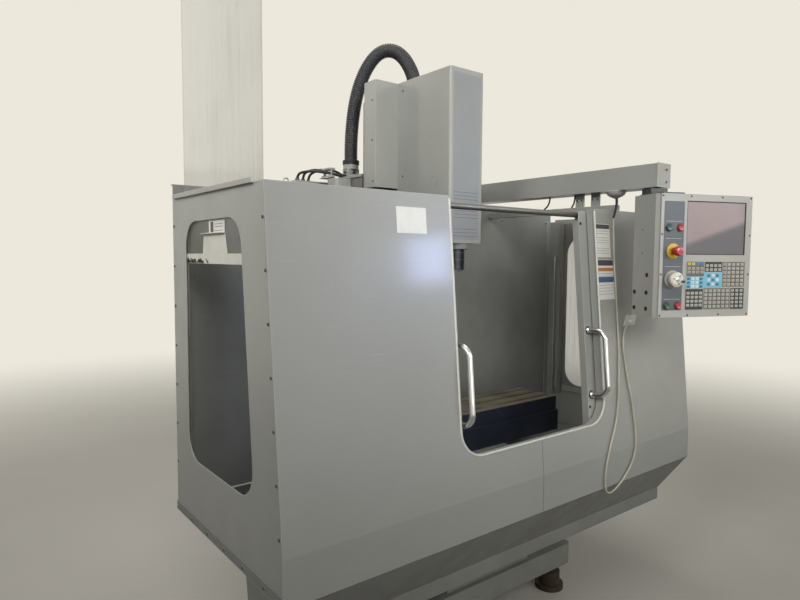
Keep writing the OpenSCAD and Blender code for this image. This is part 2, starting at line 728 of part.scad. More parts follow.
module table() {
    x0 = table_x - table_l / 2;
    x1 = table_x + table_l / 2;
    d0 = table_mid - table_d / 2;
    d1 = table_mid + table_d / 2;
    color(steel) difference() {
        block(x0, d0, table_z - table_t, x1, d1, table_z);
        for (k = [-1 : 1]) {
            block(x0 - 1, table_mid + k * slot_pitch - slot_w / 2, table_z - 34, x1 + 1,
                table_mid + k * slot_pitch + slot_w / 2, table_z + 1);
            block(x0 - 1, table_mid + k * slot_pitch - slot_w / 2 - 6, table_z - 34, x1 + 1,
                table_mid + k * slot_pitch + slot_w / 2 + 6, table_z - 20);
        }
    }
    color(navy) difference() {
        block(x0 - 4, d0 - ledge, block_low, x1 + 4, d1 + ledge, table_z - table_t + eps);
        block(x0 + 24, table_mid - 32, block_low - 1, x1 - 24, table_mid + 32, x_screw_z + 30);
        rod_x(table_mid, x_screw_z, x0 + 8, x1 - 8, screw_r + fit);
    }
}

module x_screw() color(steel) rod_x(table_mid, x_screw_z, table_x - table_l / 2 + 10,
    table_x + table_l / 2 - 10, screw_r);
module y_screw() color(steel) rod_y(0, y_screw_z, bed_d0 + 17, col_d0 - 17, screw_r);
module z_screw() color(steel) rod_z(0, z_screw_d, bed_top + 42, cap_top - 2, screw_r);

// Head with its covers, spindle motor and spindle

module head_casting() color(cast_grey) difference() {
    d_plate = carriage_d - carriage_t;
    union() {
        block(-head_w / 2 + 8, head_d0 + 8, head_low + 7, head_w / 2 - 8, d_plate + 1, rear_low + 10);
        block(-rear_half + cover_t, d_plate, head_low + 22, rear_half - cover_t, carriage_d, head_top - 82);
        block(-nut_half, carriage_d - 1, nut_z, nut_half, z_screw_d + 2 * screw_r, nut_z + nut_h);
        rod_z(0, spindle_d, head_low - flange_h, head_low + 8, flange_r);
    }
    rod_z(0, spindle_d, head_low - flange_h - 1, shaft_top + 2, shaft_r + fit);
    rod_z(0, z_screw_d, nut_z - 1, nut_z + nut_h + 1, screw_r + fit);
}

module head_cover() color(panel_grey) difference() {
    h = head_w / 2;
    translate([0, 0, head_low]) linear_extrude(head_top - head_low) intersection() {
        polygon(rounded(rect(-h, fy(head_d0), h, fy(head_d1 + 20)), 10, 5));
        polygon(rect(-h - 1, fy(head_d0) - 1, h + 1, fy(head_d1)));
    }
    translate([0, 0, head_low - 1]) linear_extrude(head_top - head_low + 1 - cover_t)
        polygon(rounded(rect(-h + cover_t, fy(head_d0) + cover_t, h - cover_t, fy(head_d1) + 60), 8, 5));
}

module head_rear_cover() color(panel_grey) {
    difference() {
        block(-rear_half, head_d1, rear_low, rear_half, rear_d1, head_top);
        block(-rear_half + cover_t, head_d1 + cover_t, rear_low - 1, rear_half - cover_t, rear_d1 + 1,
            head_top - cover_t);
        block(-head_w / 2 + cover_t, head_d1 - 1, rear_low - 1, head_w / 2 - cover_t, rear_d1,
            head_top - cover_t);
    }
    rod_z(gland_x, gland_d, head_top - eps, head_top + gland_h, conduit_r + 6);
}

module spindle_motor() color(dark_grey) {
    low = rear_low + 10;
    d = spindle_d - motor_half / 2;
    block(-motor_half, d, low, motor_half, d + motor_l, low + motor_h);
    rod_z(0, d + motor_l / 2, low + motor_h - eps, low + motor_h + motor_end_h, motor_r);
}

module spindle() color(steel) difference() {
    union() {
        rod_z(0, spindle_d, head_low - nose_l, head_low - flange_h - gap, nose_r);
        rod_z(0, spindle_d, head_low - flange_h - 1, shaft_top, shaft_r);
    }
    translate([0, fy(spindle_d), head_low - nose_l - eps]) 
        cylinder(r1 = taper_r0, r2 = taper_r1, h = taper_l);
}

// Control pendant, in its own turned frame about the swivel under the arm

module pend() { translate([pivot_x, fy(pivot_d), 0]) rotate([0, 0, pend_turn]) children(); }
// Places on the face: u from its left edge, v down from its top, y0 to y1 along its depth
module on_face(u, v, y = 0) { pend() translate([pend_x0 + u, pend_y0 + y, pend_z0 + pend_h - v]) children(); }
module face_rod(u, v, y0, y1, r) { on_face(u, v, y0) rotate([-90, 0, 0]) cylinder(r = r, h = y1 - y0); }
module face_block(u0, v0, u1, v1, y0, y1) { on_face(u0, v1, y0) cube([u1 - u0, y1 - y0, v1 - v0]); }

// Layout of the face
screen_u = [125, 397];
screen_v = [25, 226];
strip_u = [24, 112];
strip_v = [28, 434];
keys_u = [127, 402];
keys_v = [250, 436];
button_u = [45, 95];
power_v = 126;
cycle_v = 416;
button_r = 12.5;
estop_at = [66, 213];
wheel_at = [66, 318];
stem_r = 12;
shaft_bore = 8;
strip_t = 1;
bezel_t = 5;

module pendant_neck() color(dark_grey) pend() {
    translate([-48, -48 - neck_reach, pend_z0 + pend_h]) cube([96, 58 + neck_reach, 12]);
    translate([-38, -46, pend_z0 + pend_h + 12 - eps]) cube([76, 56, neck_h - 12 - gap - boss_h + eps]);
    translate([0, 0, pend_z0 + pend_h + neck_h - gap - boss_h - eps]) cylinder(r = boss_r, h = boss_h + eps);
}

module pendant_case() color(panel_grey) pend() difference() {
    translate([pend_x0, pend_y0 + face_t, pend_z0]) linear_extrude(pend_h)
        polygon([[0, 14], [10, 0], [pend_w, 0], [pend_w, pend_d - face_t], [0, pend_d - face_t]]);
    translate([pend_x0 + case_t, pend_y0 + face_t - 1, pend_z0 + case_t]) linear_extrude(pend_h - 2 * case_t)
        polygon([[0, 14], [9, 0], [pend_w - 2 * case_t, 0], [pend_w - 2 * case_t, pend_d - face_t - case_t],
            [0, pend_d - face_t - case_t]]);
}

module pendant_face() color(panel_grey) difference() {
    face_block(10, 0, pend_w, pend_h, 0, face_t);
    face_block(screen_u[0], screen_v[0], screen_u[1], screen_v[1], -1, face_t + 1);
    for (u = button_u, v = [power_v, cycle_v]) face_rod(u, v, -1, face_t + 1, button_r + gap);
    face_rod(estop_at.x, estop_at.y, -1, face_t + 1, stem_r + gap);
    face_rod(wheel_at.x, wheel_at.y, -1, face_t + 1, shaft_bore + gap);
}

module pendant_screen() color([0.20, 0.20, 0.22])
    face_block(screen_u[0], screen_v[0], screen_u[1], screen_v[1], 3, face_t);

// Groups of keys as [u of the first key, v, columns, rows, pitch across, pitch down]
KEY_GROUPS = [[141, 260, 4, 1, 19.5, 15], [141, 277, 4, 2, 19.5, 14], [140, 316, 4, 3, 19.2, 14.6],
    [140, 370.5, 4, 4, 19, 15.2], [223, 266.5, 4, 2, 19.4, 15], [232, 304, 3, 3, 20, 16.5],
    [221.5, 362, 6, 5, 20, 15], [304, 262, 1, 6, 18, 15.3], [325, 262, 4, 6, 20.4, 15.3],
    [345.5, 362, 3, 5, 20.6, 15]];
key_w = 13.6;
key_h = 10.2;

module pendant_keypad() color(dark_grey) {
    face_block(keys_u[0], keys_v[0], keys_u[1], keys_v[1], -strip_t, 0);
    for (g = KEY_GROUPS, i = [0 : g[2] - 1], j = [0 : g[3] - 1])
        face_block(g.x + i * g[4] - key_w / 2, g.y + j * g[5] - key_h / 2, g.x + i * g[4] + key_w / 2,
            g.y + j * g[5] + key_h / 2, -strip_t - 1.2, -strip_t + eps);
    difference() {
        face_block(strip_u[0], strip_v[0], strip_u[1], strip_v[1], -strip_t, 0);
        for (u = button_u, v = [power_v, cycle_v]) face_rod(u, v, -2, 1, button_r + gap);
        face_rod(estop_at.x, estop_at.y, -2, 1, stem_r + gap);
        face_rod(wheel_at.x, wheel_at.y, -2, 1, shaft_bore + gap);
    }
}

module estop_button() color([0.75, 0.12, 0.10]) {
    face_rod(estop_at.x, estop_at.y, -34, face_t + 4, stem_r);
    face_rod(estop_at.x, estop_at.y, -42, -24, 18.5);
}

module round_button(u, v) { face_rod(u, v, -9, face_t + 4, button_r); }
module power_on_button() color([0.10, 0.22, 0.16]) round_button(button_u[0], power_v);
module power_off_button() color([0.70, 0.10, 0.14]) round_button(button_u[1], power_v);
module cycle_start_button() color([0.10, 0.22, 0.16]) round_button(button_u[0], cycle_v);
module feed_hold_button() color([0.70, 0.10, 0.14]) round_button(button_u[1], cycle_v);

// Hand wheel with a spun disc and an off-centre spinner
module jog_wheel() color([0.86, 0.86, 0.84]) {
    face_rod(wheel_at.x, wheel_at.y, -28, face_t + 4, shaft_bore);
    face_rod(wheel_at.x, wheel_at.y, -32, -13, 28);
    face_rod(wheel_at.x + 19, wheel_at.y + 7, -47, -32 + eps, 4.5);
}

// Screws, bezels and the plugs on the pendant's left side
module pendant_trim() color(rubber) {
    for (u = [17, pend_w / 3, pend_w * 2 / 3, pend_w - 8], v = [8, pend_h - 8]) face_rod(u, v, -1.5, 0, 4);
    for (u = [17, pend_w - 8], v = [150, 300]) face_rod(u, v, -1.5, 0, 4);
    difference() {
        face_rod(estop_at.x, estop_at.y, -strip_t - bezel_t, -strip_t, 29);
        face_rod(estop_at.x, estop_at.y, -10, 0, stem_r + gap);
    }
    difference() {
        face_rod(wheel_at.x, wheel_at.y, -strip_t - bezel_t, -strip_t, 34);
        face_rod(wheel_at.x, wheel_at.y, -10, 0, shaft_bore + gap);
    }
    pend() for (p = [[57, 303], [57, 370], [126, 370], [57, 431], [126, 431]])
        translate([pend_x0, pend_y0 + p.x, pend_z0 + pend_h - p.y]) rotate([0, -90, 0])
            cylinder(r = 8.5, h = 1.5);
}

base_casting();
levelling_feet();
column();
column_cap();
z_motor();
control_cabinet();
cabinet_door();
chip_pan();
front_apron();
front_beam();
left_front_panel();
right_front_panel();
left_side_panel();
right_side_panel();
back_panels();
left_window_guides();
right_window_guides();
door_rail();
door_track();
left_door();
left_door_pane();
left_door_handle();
right_door();
right_door_pane();
right_door_handle();
left_window();
left_window_pull();
right_window();
right_window_pull();
enclosure_bolts();
pendant_arm();
arm_support();
hose_swivel();
hose_guard();
air_hose();
hose_hook();
loose_cables();
head_conduit();
saddle();
table();
x_screw();
y_screw();
z_screw();
head_casting();
head_cover();
head_rear_cover();
spindle_motor();
spindle();
pendant_neck();
pendant_case();
pendant_face();
pendant_screen();
pendant_keypad();
estop_button();
power_on_button();
power_off_button();
cycle_start_button();
feed_hold_button();
jog_wheel();
pendant_trim();
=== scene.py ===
"""Dresses the vertical machining center for its photograph.

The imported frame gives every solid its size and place. This script adds the camera, the hoses and
cables, the detailed pieces that replace plain solids, the materials and the studio light.
Sizes are in millimetres, and places in the row frame are written as [X, depth behind the front
face, Z], as in the part's source.
"""

import logging
import math
import random
from dataclasses import dataclass
from enum import Enum
from typing import Iterable, Iterator, Optional, Sequence, Union

import bmesh
import bpy
from mathutils import Matrix, Vector

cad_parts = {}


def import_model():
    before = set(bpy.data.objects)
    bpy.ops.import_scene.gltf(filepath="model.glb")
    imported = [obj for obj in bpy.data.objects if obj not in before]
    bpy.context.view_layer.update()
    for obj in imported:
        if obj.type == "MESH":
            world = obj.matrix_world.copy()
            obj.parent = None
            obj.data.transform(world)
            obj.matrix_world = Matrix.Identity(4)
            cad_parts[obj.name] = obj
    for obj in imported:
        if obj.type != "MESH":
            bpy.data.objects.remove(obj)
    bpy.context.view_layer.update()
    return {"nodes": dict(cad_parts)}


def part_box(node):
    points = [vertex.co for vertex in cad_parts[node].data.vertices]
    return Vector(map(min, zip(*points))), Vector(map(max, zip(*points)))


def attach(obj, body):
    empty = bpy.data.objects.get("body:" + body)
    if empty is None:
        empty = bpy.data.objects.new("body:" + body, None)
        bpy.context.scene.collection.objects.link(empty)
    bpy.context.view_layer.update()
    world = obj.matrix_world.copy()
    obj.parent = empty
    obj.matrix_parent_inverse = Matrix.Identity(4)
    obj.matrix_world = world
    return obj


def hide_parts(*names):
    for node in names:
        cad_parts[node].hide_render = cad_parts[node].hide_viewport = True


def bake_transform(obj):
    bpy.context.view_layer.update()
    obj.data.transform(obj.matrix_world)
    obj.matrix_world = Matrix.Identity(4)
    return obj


LOG = logging.getLogger("machining_center")

MM = 0.001
FRONT_Y = -800.0
IMAGE_WIDTH = 800

Place = tuple[float, float, float]
Pair = tuple[float, float]
Edges = tuple[float, float, float, float]
Outline = Sequence[Pair]
Tree = bpy.types.NodeTree
Node = bpy.types.Node
Socket = bpy.types.NodeSocket
Material = bpy.types.Material
Object = bpy.types.Object

UP: Place = (0.0, 0.0, 1.0)
DOWN: Place = (0.0, 0.0, -1.0)
TO_FRONT: Place = (0.0, -1.0, 0.0)
TO_BACK: Place = (0.0, 1.0, 0.0)
TO_LEFT: Place = (-1.0, 0.0, 0.0)


def at(x: float, depth: float, z: float) -> Vector:
    """Turn a place into metres.

    Args:
        x: Distance to the operator's right of the middle.
        depth: Distance behind the front face.
        z: Height above the floor.

    Returns:
        The point in the row frame.
    """
    return Vector((x, FRONT_Y + depth, z)) * MM


# Camera and studio


@dataclass(frozen=True)
class PhotoCamera:
    """The camera that took the photograph.

    Attributes:
        eye: Where it stands, in metres.
        yaw: Degrees from +Y towards +X.
        pitch: Degrees below the horizon.
        roll: Degrees that its right side is tipped up.
        focal_px: Focal length in pixels of the photograph.
    """

    eye: Place = (-1.76229, -2.20042, 1.479)
    yaw: float = 37.977
    pitch: float = 3.971
    roll: float = 0.347
    focal_px: float = 614.87

    def axes(self) -> tuple[Vector, Vector, Vector]:
        """Work out the camera's right, up and forward directions.

        Returns:
            Three unit vectors in the row frame.
        """
        yaw, pitch, roll = (math.radians(v) for v in (self.yaw, self.pitch, self.roll))
        forward = Vector((math.sin(yaw) * math.cos(pitch), math.cos(yaw) * math.cos(pitch), -math.sin(pitch)))
        level = Vector((math.cos(yaw), -math.sin(yaw), 0.0))
        upright = level.cross(forward)
        right = level * math.cos(roll) + upright * math.sin(roll)
        up = upright * math.cos(roll) - level * math.sin(roll)
        return right, up, forward

    def place(self) -> None:
        """Create the camera and make it the scene's own."""
        right, up, forward = self.axes()
        data = bpy.data.cameras.new("Photo camera")
        data.sensor_width = 36.0
        data.lens = self.focal_px * data.sensor_width / IMAGE_WIDTH
        data.clip_start = 0.05
        data.clip_end = 80.0
        camera = bpy.data.objects.new("Photo camera", data)
        turn = Matrix((right, up, -forward)).transposed().to_4x4()
        camera.matrix_world = Matrix.Translation(self.eye) @ turn
        bpy.context.scene.collection.objects.link(camera)
        bpy.context.scene.camera = camera


def linear(code: str) -> tuple[float, float, float, float]:
    """Turn a hex sRGB colour into Blender's linear colour.

    Args:
        code: The colour as "#rrggbb".

    Returns:
        Red, green, blue and alpha.
    """
    parts = [int(code[i : i + 2], 16) / 255.0 for i in (1, 3, 5)]
    red, green, blue = (c / 12.92 if c <= 0.04045 else ((c + 0.055) / 1.055) ** 2.4 for c in parts)
    return red, green, blue, 1.0


Feeds = dict[Union[str, int], Union[Socket, Node, float, tuple]]

# Settings and sockets of a node that mixes two colours: its share, its two colours and its result
COLOURS = {"data_type": "RGBA"}
SHARE, FIRST, SECOND, MIXED = 0, 6, 7, 2


def feed(tree: Tree, node: Node, feeds: Feeds) -> None:
    """Set or link inputs of a node.

    Args:
        tree: The node tree.
        node: The node.
        feeds: For each input, by name or number, a value, a socket, or a node whose first output feeds it.
    """
    for name, value in feeds.items():
        if isinstance(value, Node):
            value = value.outputs[0]
        if isinstance(value, Socket):
            tree.links.new(value, node.inputs[name])
        else:
            node.inputs[name].default_value = value


def add_node(tree: Tree, kind: str, settings: Optional[dict[str, object]] = None,
             feeds: Optional[Feeds] = None) -> Node:
    """Add a node with its settings and links.

    Args:
        tree: The node tree.
        kind: The shader node's type, such as Math.
        settings: Values of its properties.
        feeds: What feeds its inputs.

    Returns:
        The new node.
    """
    node = tree.nodes.new(f"ShaderNode{kind}")
    for name, value in (settings or {}).items():
        setattr(node, name, value)
    feed(tree, node, feeds or {})
    return node


def start_material(name: str) -> tuple[Material, Tree, Node, Socket]:
    """Create a material with a plain shader.

    Args:
        name: The real material.

    Returns:
        The material, its nodes, its shader and the places on the object, in metres.
    """
    material = bpy.data.materials.new(name)
    material.use_nodes = True
    tree = material.node_tree
    return material, tree, tree.nodes["Principled BSDF"], add_node(tree, "TexCoord").outputs["Object"]


def per_metre(size_mm: float) -> float:
    """Turn a pattern's real size in millimetres into its scale over places in metres."""
    return 1000.0 / size_mm


@dataclass(frozen=True)
class Lamp:
    """A square soft box.

    Attributes:
        name: Its name.
        place: Where it hangs, in metres.
        target: Where it points, in metres.
        size: Its side, in metres.
        watts: Its power.
        colour: Its light's colour, hex sRGB.
        spread: Angle of its beam in degrees, narrowed by a honeycomb grid.
    """

    name: str
    place: Place
    target: Place
    size: float
    watts: float
    colour: str
    spread: float = 180.0

    def hang(self) -> None:
        """Create the lamp."""
        data = bpy.data.lights.new(self.name, "AREA")
        data.size = self.size
        data.energy = self.watts
        data.spread = math.radians(self.spread)
        data.color = linear(self.colour)[:3]
        lamp = bpy.data.objects.new(self.name, data)
        lamp.location = self.place
        aim = Vector(self.target) - Vector(self.place)
        lamp.rotation_euler = aim.to_track_quat("-Z", "Y").to_euler()
        bpy.context.scene.collection.objects.link(lamp)


@dataclass(frozen=True)
class Studio:
    """Plain pale floor, pale backdrop and soft light.

    Attributes:
        floor_size: Side of the floor, in metres.
        floor_colour: The floor's colour.
        floor_cloud: The floor's colour in its clouds.
        cloud_mm: Size of one cloud.
        floor_bounce: The colour by which the floor lights the machine.
        haze: Where the floor starts to fade into the backdrop and where it is lost, in metres.
        backdrop: The colour behind the machine.
        ambient: The colour of the light from all round.
        ambient_high: Its strength from above.
        ambient_low: Its strength from the horizon down.
        lamps: The soft boxes.
    """

    floor_size: float = 60.0
    floor_colour: str = "#d3d0c9"
    floor_cloud: str = "#c4c1b9"
    cloud_mm: float = 769.2
    floor_bounce: str = "#4c4943"
    haze: tuple[float, float] = (2.2, 8.0)
    backdrop: str = "#ece8dc"
    ambient: str = "#f6f7f8"
    ambient_high: float = 0.11
    ambient_low: float = 0.03
    lamps: tuple[Lamp, ...] = (
        Lamp("Key soft box", (-4.2, -1.5, 3.9), (-0.2, 0.1, 2.0), 1.8, 15.5, "#fffdf8", 60.0),
        Lamp("Front soft box", (-2.2, -4.4, 3.8), (-0.1, 0.0, 1.9), 1.8, 12.0, "#fffdf6", 52.0),
        Lamp("Fill soft box", (3.0, -4.2, 3.2), (0.3, -0.6, 1.05), 2.2, 4.0, "#fffefb", 66.0),
        Lamp("Low soft box", (-0.6, -5.0, 1.7), (0.2, 0.0, 1.4), 2.4, 7.0, "#fffdf6", 60.0),
        Lamp("Pendant soft box", (1.2, -4.2, 2.6), (0.9, -0.8, 1.6), 1.2, 2.6, "#fffefb", 40.0),
        Lamp("Top soft box", (0.2, 0.4, 5.2), (0.0, 0.1, 1.0), 3.4, 70.0, "#fffdf8"),
        Lamp("Back soft box", (-2.2, 4.2, 3.6), (0.0, 0.3, 1.4), 2.6, 30.0, "#fffaf2"),
        Lamp("Workshop lamp", (1.20, -2.66, 1.83), (-0.49, -0.73, 1.47), 0.34, 0.50, "#b8caff", 40.0),
    )

    def build(self) -> None:
        """Create the floor, the world and the lamps."""
        scene = bpy.context.scene
        scene.view_settings.view_transform = "Standard"
        for lamp in self.lamps:
            lamp.hang()
        mesh = bpy.data.meshes.new("Studio floor")
        half = self.floor_size / 2
        corners = [(-half, -half, 0), (half, -half, 0), (half, half, 0), (-half, half, 0)]
        mesh.from_pydata(corners, [], [(0, 1, 2, 3)])
        floor = bpy.data.objects.new("Studio floor", mesh)
        scene.collection.objects.link(floor)
        mesh.materials.append(self._floor_material())
        self._world()

    def _seen(self, tree: Tree) -> Node:
        """Find the rays that show the stage: to the camera, by a reflection or through a clear sheet.

        Args:
            tree: The nodes of the floor or of the world.

        Returns:
            1 for such a ray, 0 for light that reaches the machine.
        """
        paths = add_node(tree, "LightPath").outputs
        direct = add_node(tree, "Math", {"operation": "MAXIMUM"},
                          {0: paths["Is Camera Ray"], 1: paths["Is Transmission Ray"]})
        return add_node(tree, "Math", {"operation": "MAXIMUM"}, {0: direct, 1: paths["Is Glossy Ray"]})

    def _floor_material(self) -> Material:
        """Create the floor: pale where it is seen, duller in its bounce, and lost in the backdrop far away.

        Returns:
            The Blender material.
        """
        material, tree, shader, coords = start_material("Pale sealed concrete floor")
        seen = self._seen(tree)
        cloud = add_node(tree, "TexNoise", None,
                         {"Vector": coords, "Scale": per_metre(self.cloud_mm), "Detail": 5.0})
        tint = add_node(tree, "Mix", COLOURS, {
            SHARE: cloud, FIRST: linear(self.floor_colour), SECOND: linear(self.floor_cloud)})
        colour = add_node(tree, "Mix", COLOURS, {
            SHARE: seen, FIRST: linear(self.floor_bounce), SECOND: tint.outputs[MIXED]})
        # Sealed concrete is dull: it shows no mirror image of the machine.
        feed(tree, shader, {"Base Color": colour.outputs[MIXED], "Roughness": 0.6})
        far = add_node(tree, "VectorMath", {"operation": "LENGTH"}, {0: coords})
        fade = add_node(tree, "MapRange", {"interpolation_type": "SMOOTHSTEP"}, {
            "Value": far.outputs["Value"], "From Min": self.haze[0], "From Max": self.haze[1]})
        share = add_node(tree, "Math", {"operation": "MULTIPLY"}, {0: fade, 1: seen})
        haze = add_node(tree, "Emission", None, {"Color": linear(self.backdrop), "Strength": 1.0})
        mixed = add_node(tree, "MixShader", None, {0: share, 1: shader, 2: haze})
        feed(tree, tree.nodes["Material Output"], {"Surface": mixed})
        return material

    def _world(self) -> None:
        """Create the backdrop and the light from all round, which comes mostly from above."""
        world = bpy.data.worlds.new("Studio")
        bpy.context.scene.world = world
        world.use_nodes = True
        tree = world.node_tree
        tree.nodes.clear()
        heading = add_node(tree, "TexCoord").outputs["Generated"]
        height = add_node(tree, "SeparateXYZ", None, {"Vector": heading}).outputs["Z"]
        strength = add_node(tree, "MapRange", None, {
            "Value": height, "From Min": 0.0, "From Max": 0.8,
            "To Min": self.ambient_low, "To Max": self.ambient_high})
        light = add_node(tree, "Background", None, {"Color": linear(self.ambient), "Strength": strength})
        back = add_node(tree, "Background", None, {"Color": linear(self.backdrop), "Strength": 1.0})
        shown = add_node(tree, "MixShader", None, {0: self._seen(tree), 1: light, 2: back})
        add_node(tree, "OutputWorld", None, {"Surface": shown})


# Materials

# Two sets of scratches, along and up the sheet: stretch, size before stretching, and least noise that shows
SCRATCHES = (((1.0, 1.0, 26.0), 111.11, 0.70), ((24.0, 24.0, 1.4), 90.909, 0.705))
SCRATCHED = "#c9c8c2"
# Paler colour and radius along rounded edges: partly rubbed coat, partly a painted highlight of the light
# that the edges catch
EDGE_RUB_AND_HIGHLIGHT = "#dcddd8"
EDGE_RUB_AND_HIGHLIGHT_MM = 2.6


@dataclass(frozen=True)
class Finish:
    """How the surface of one real material looks.

    Attributes:
        name: The real material and how its surface was made.
        colour: Its main colour.
        stain: The colour that dust, oil or a worn surface turns it towards.
        stain_share: How much of the stain shows at its strongest.
        stain_mm: Size of one stain.
        roughness: Mean roughness.
        swing: How far roughness varies either way.
        metallic: 1 for bare metal.
        grain_mm: Size of one grain of the fine surface.
        grain_um: Height of the grain, in thousandths of a millimetre.
        scratch: How strongly long scratches lighten it.
        coat: Weight of a clear gloss layer.
        coat_roughness: Its roughness.
        edge_mm: Radius that catches the light along edges.
        edge_rub_and_highlight: How much paler the colour turns along rounded edges, partly rubbed coat and
            partly a painted highlight of the light that the edges catch.
    """

    name: str
    colour: str
    stain: str
    stain_share: float = 0.25
    stain_mm: float = 350.0
    roughness: float = 0.45
    swing: float = 0.06
    metallic: float = 0.0
    grain_mm: float = 3.0
    grain_um: float = 40.0
    scratch: float = 0.0
    coat: float = 0.0
    coat_roughness: float = 0.08
    edge_mm: float = 0.0
    edge_rub_and_highlight: float = 0.0

    @classmethod
    def film(cls, name: str, colour: str, stain: str, roughness: float = 0.42) -> "Finish":
        """Describe a small printed or embossed film, which has small stains and a fine grain."""
        return cls(name, colour, stain, 0.25, 30, roughness, 0.05, grain_um=10)

    def build(self) -> Material:
        """Create the material.

        Returns:
            The Blender material.
        """
        material, tree, shader, coords = start_material(self.name)
        feed(tree, shader, {"Base Color": self._colour(tree, coords), "Metallic": self.metallic,
                            "Coat Weight": self.coat, "Coat Roughness": self.coat_roughness,
                            "Roughness": self.roughness})
        if self.swing > 0.0:
            clouds = add_node(tree, "TexNoise", None,
                              {"Vector": coords, "Scale": per_metre(self.stain_mm / 4), "Detail": 3.0})
            rough = add_node(tree, "MapRange", None, {
                "Value": clouds, "From Min": 0.3, "From Max": 0.7,
                "To Min": self.roughness - self.swing, "To Max": self.roughness + self.swing})
            feed(tree, shader, {"Roughness": rough})
        grains = add_node(tree, "TexNoise", None,
                          {"Vector": coords, "Scale": per_metre(self.grain_mm), "Detail": 2.0})
        bump = add_node(tree, "Bump", None, {
            "Height": grains, "Strength": 1.0, "Distance": self.grain_um * 1e-6})
        if self.edge_mm > 0.0:
            rounding = add_node(tree, "Bevel", {"samples": 4}, {"Radius": self.edge_mm * MM})
            feed(tree, bump, {"Normal": rounding})
        feed(tree, shader, {"Normal": bump})
        return material

    def _colour(self, tree: Tree, coords: Socket) -> Socket:
        """Mix the main colour with stains, scratches and pale edges, which are partly rubbed coat and partly
        a painted highlight.

        Args:
            tree: The material's nodes.
            coords: Places on the object, in metres.

        Returns:
            The colour.
        """
        clouds = add_node(tree, "TexNoise", None,
                          {"Vector": coords, "Scale": per_metre(self.stain_mm), "Detail": 5.0})
        share = add_node(tree, "MapRange", None, {
            "Value": clouds, "From Min": 0.42, "From Max": 0.75, "To Max": self.stain_share})
        colour = add_node(tree, "Mix", COLOURS, {
            SHARE: share, FIRST: linear(self.colour),
            SECOND: linear(self.stain)}).outputs[MIXED]
        if self.scratch > 0.0:
            marks = []
            for stretch, size, start in SCRATCHES:
                drawn = add_node(tree, "Mapping", None, {"Vector": coords, "Scale": stretch})
                lines = add_node(tree, "TexNoise", None,
                                 {"Vector": drawn, "Scale": per_metre(size), "Detail": 2.0})
                marks.append(add_node(tree, "MapRange", None, {
                    "Value": lines, "From Min": start, "From Max": start + 0.02,
                    "To Max": self.scratch}))
            both = add_node(tree, "Math", {"operation": "MAXIMUM"}, {0: marks[0], 1: marks[1]})
            colour = add_node(tree, "Mix", COLOURS, {
                SHARE: both, FIRST: colour, SECOND: linear(SCRATCHED)}).outputs[MIXED]
        # Along rounded edges the colour turns paler: partly rubbed coat, partly a painted highlight where the
        # edges catch the light.
        if self.edge_rub_and_highlight > 0.0:
            rounding = add_node(tree, "Bevel", {"samples": 4}, {"Radius": EDGE_RUB_AND_HIGHLIGHT_MM * MM})
            face = add_node(tree, "NewGeometry").outputs["True Normal"]
            facing = add_node(tree, "VectorMath", {"operation": "DOT_PRODUCT"}, {0: rounding, 1: face})
            rubbed = add_node(tree, "MapRange", None, {
                "Value": facing.outputs["Value"], "From Min": 0.995, "From Max": 0.90, "To Max": self.edge_rub_and_highlight})
            colour = add_node(tree, "Mix", COLOURS, {
                SHARE: rubbed, FIRST: colour, SECOND: linear(EDGE_RUB_AND_HIGHLIGHT)}).outputs[MIXED]
        return colour


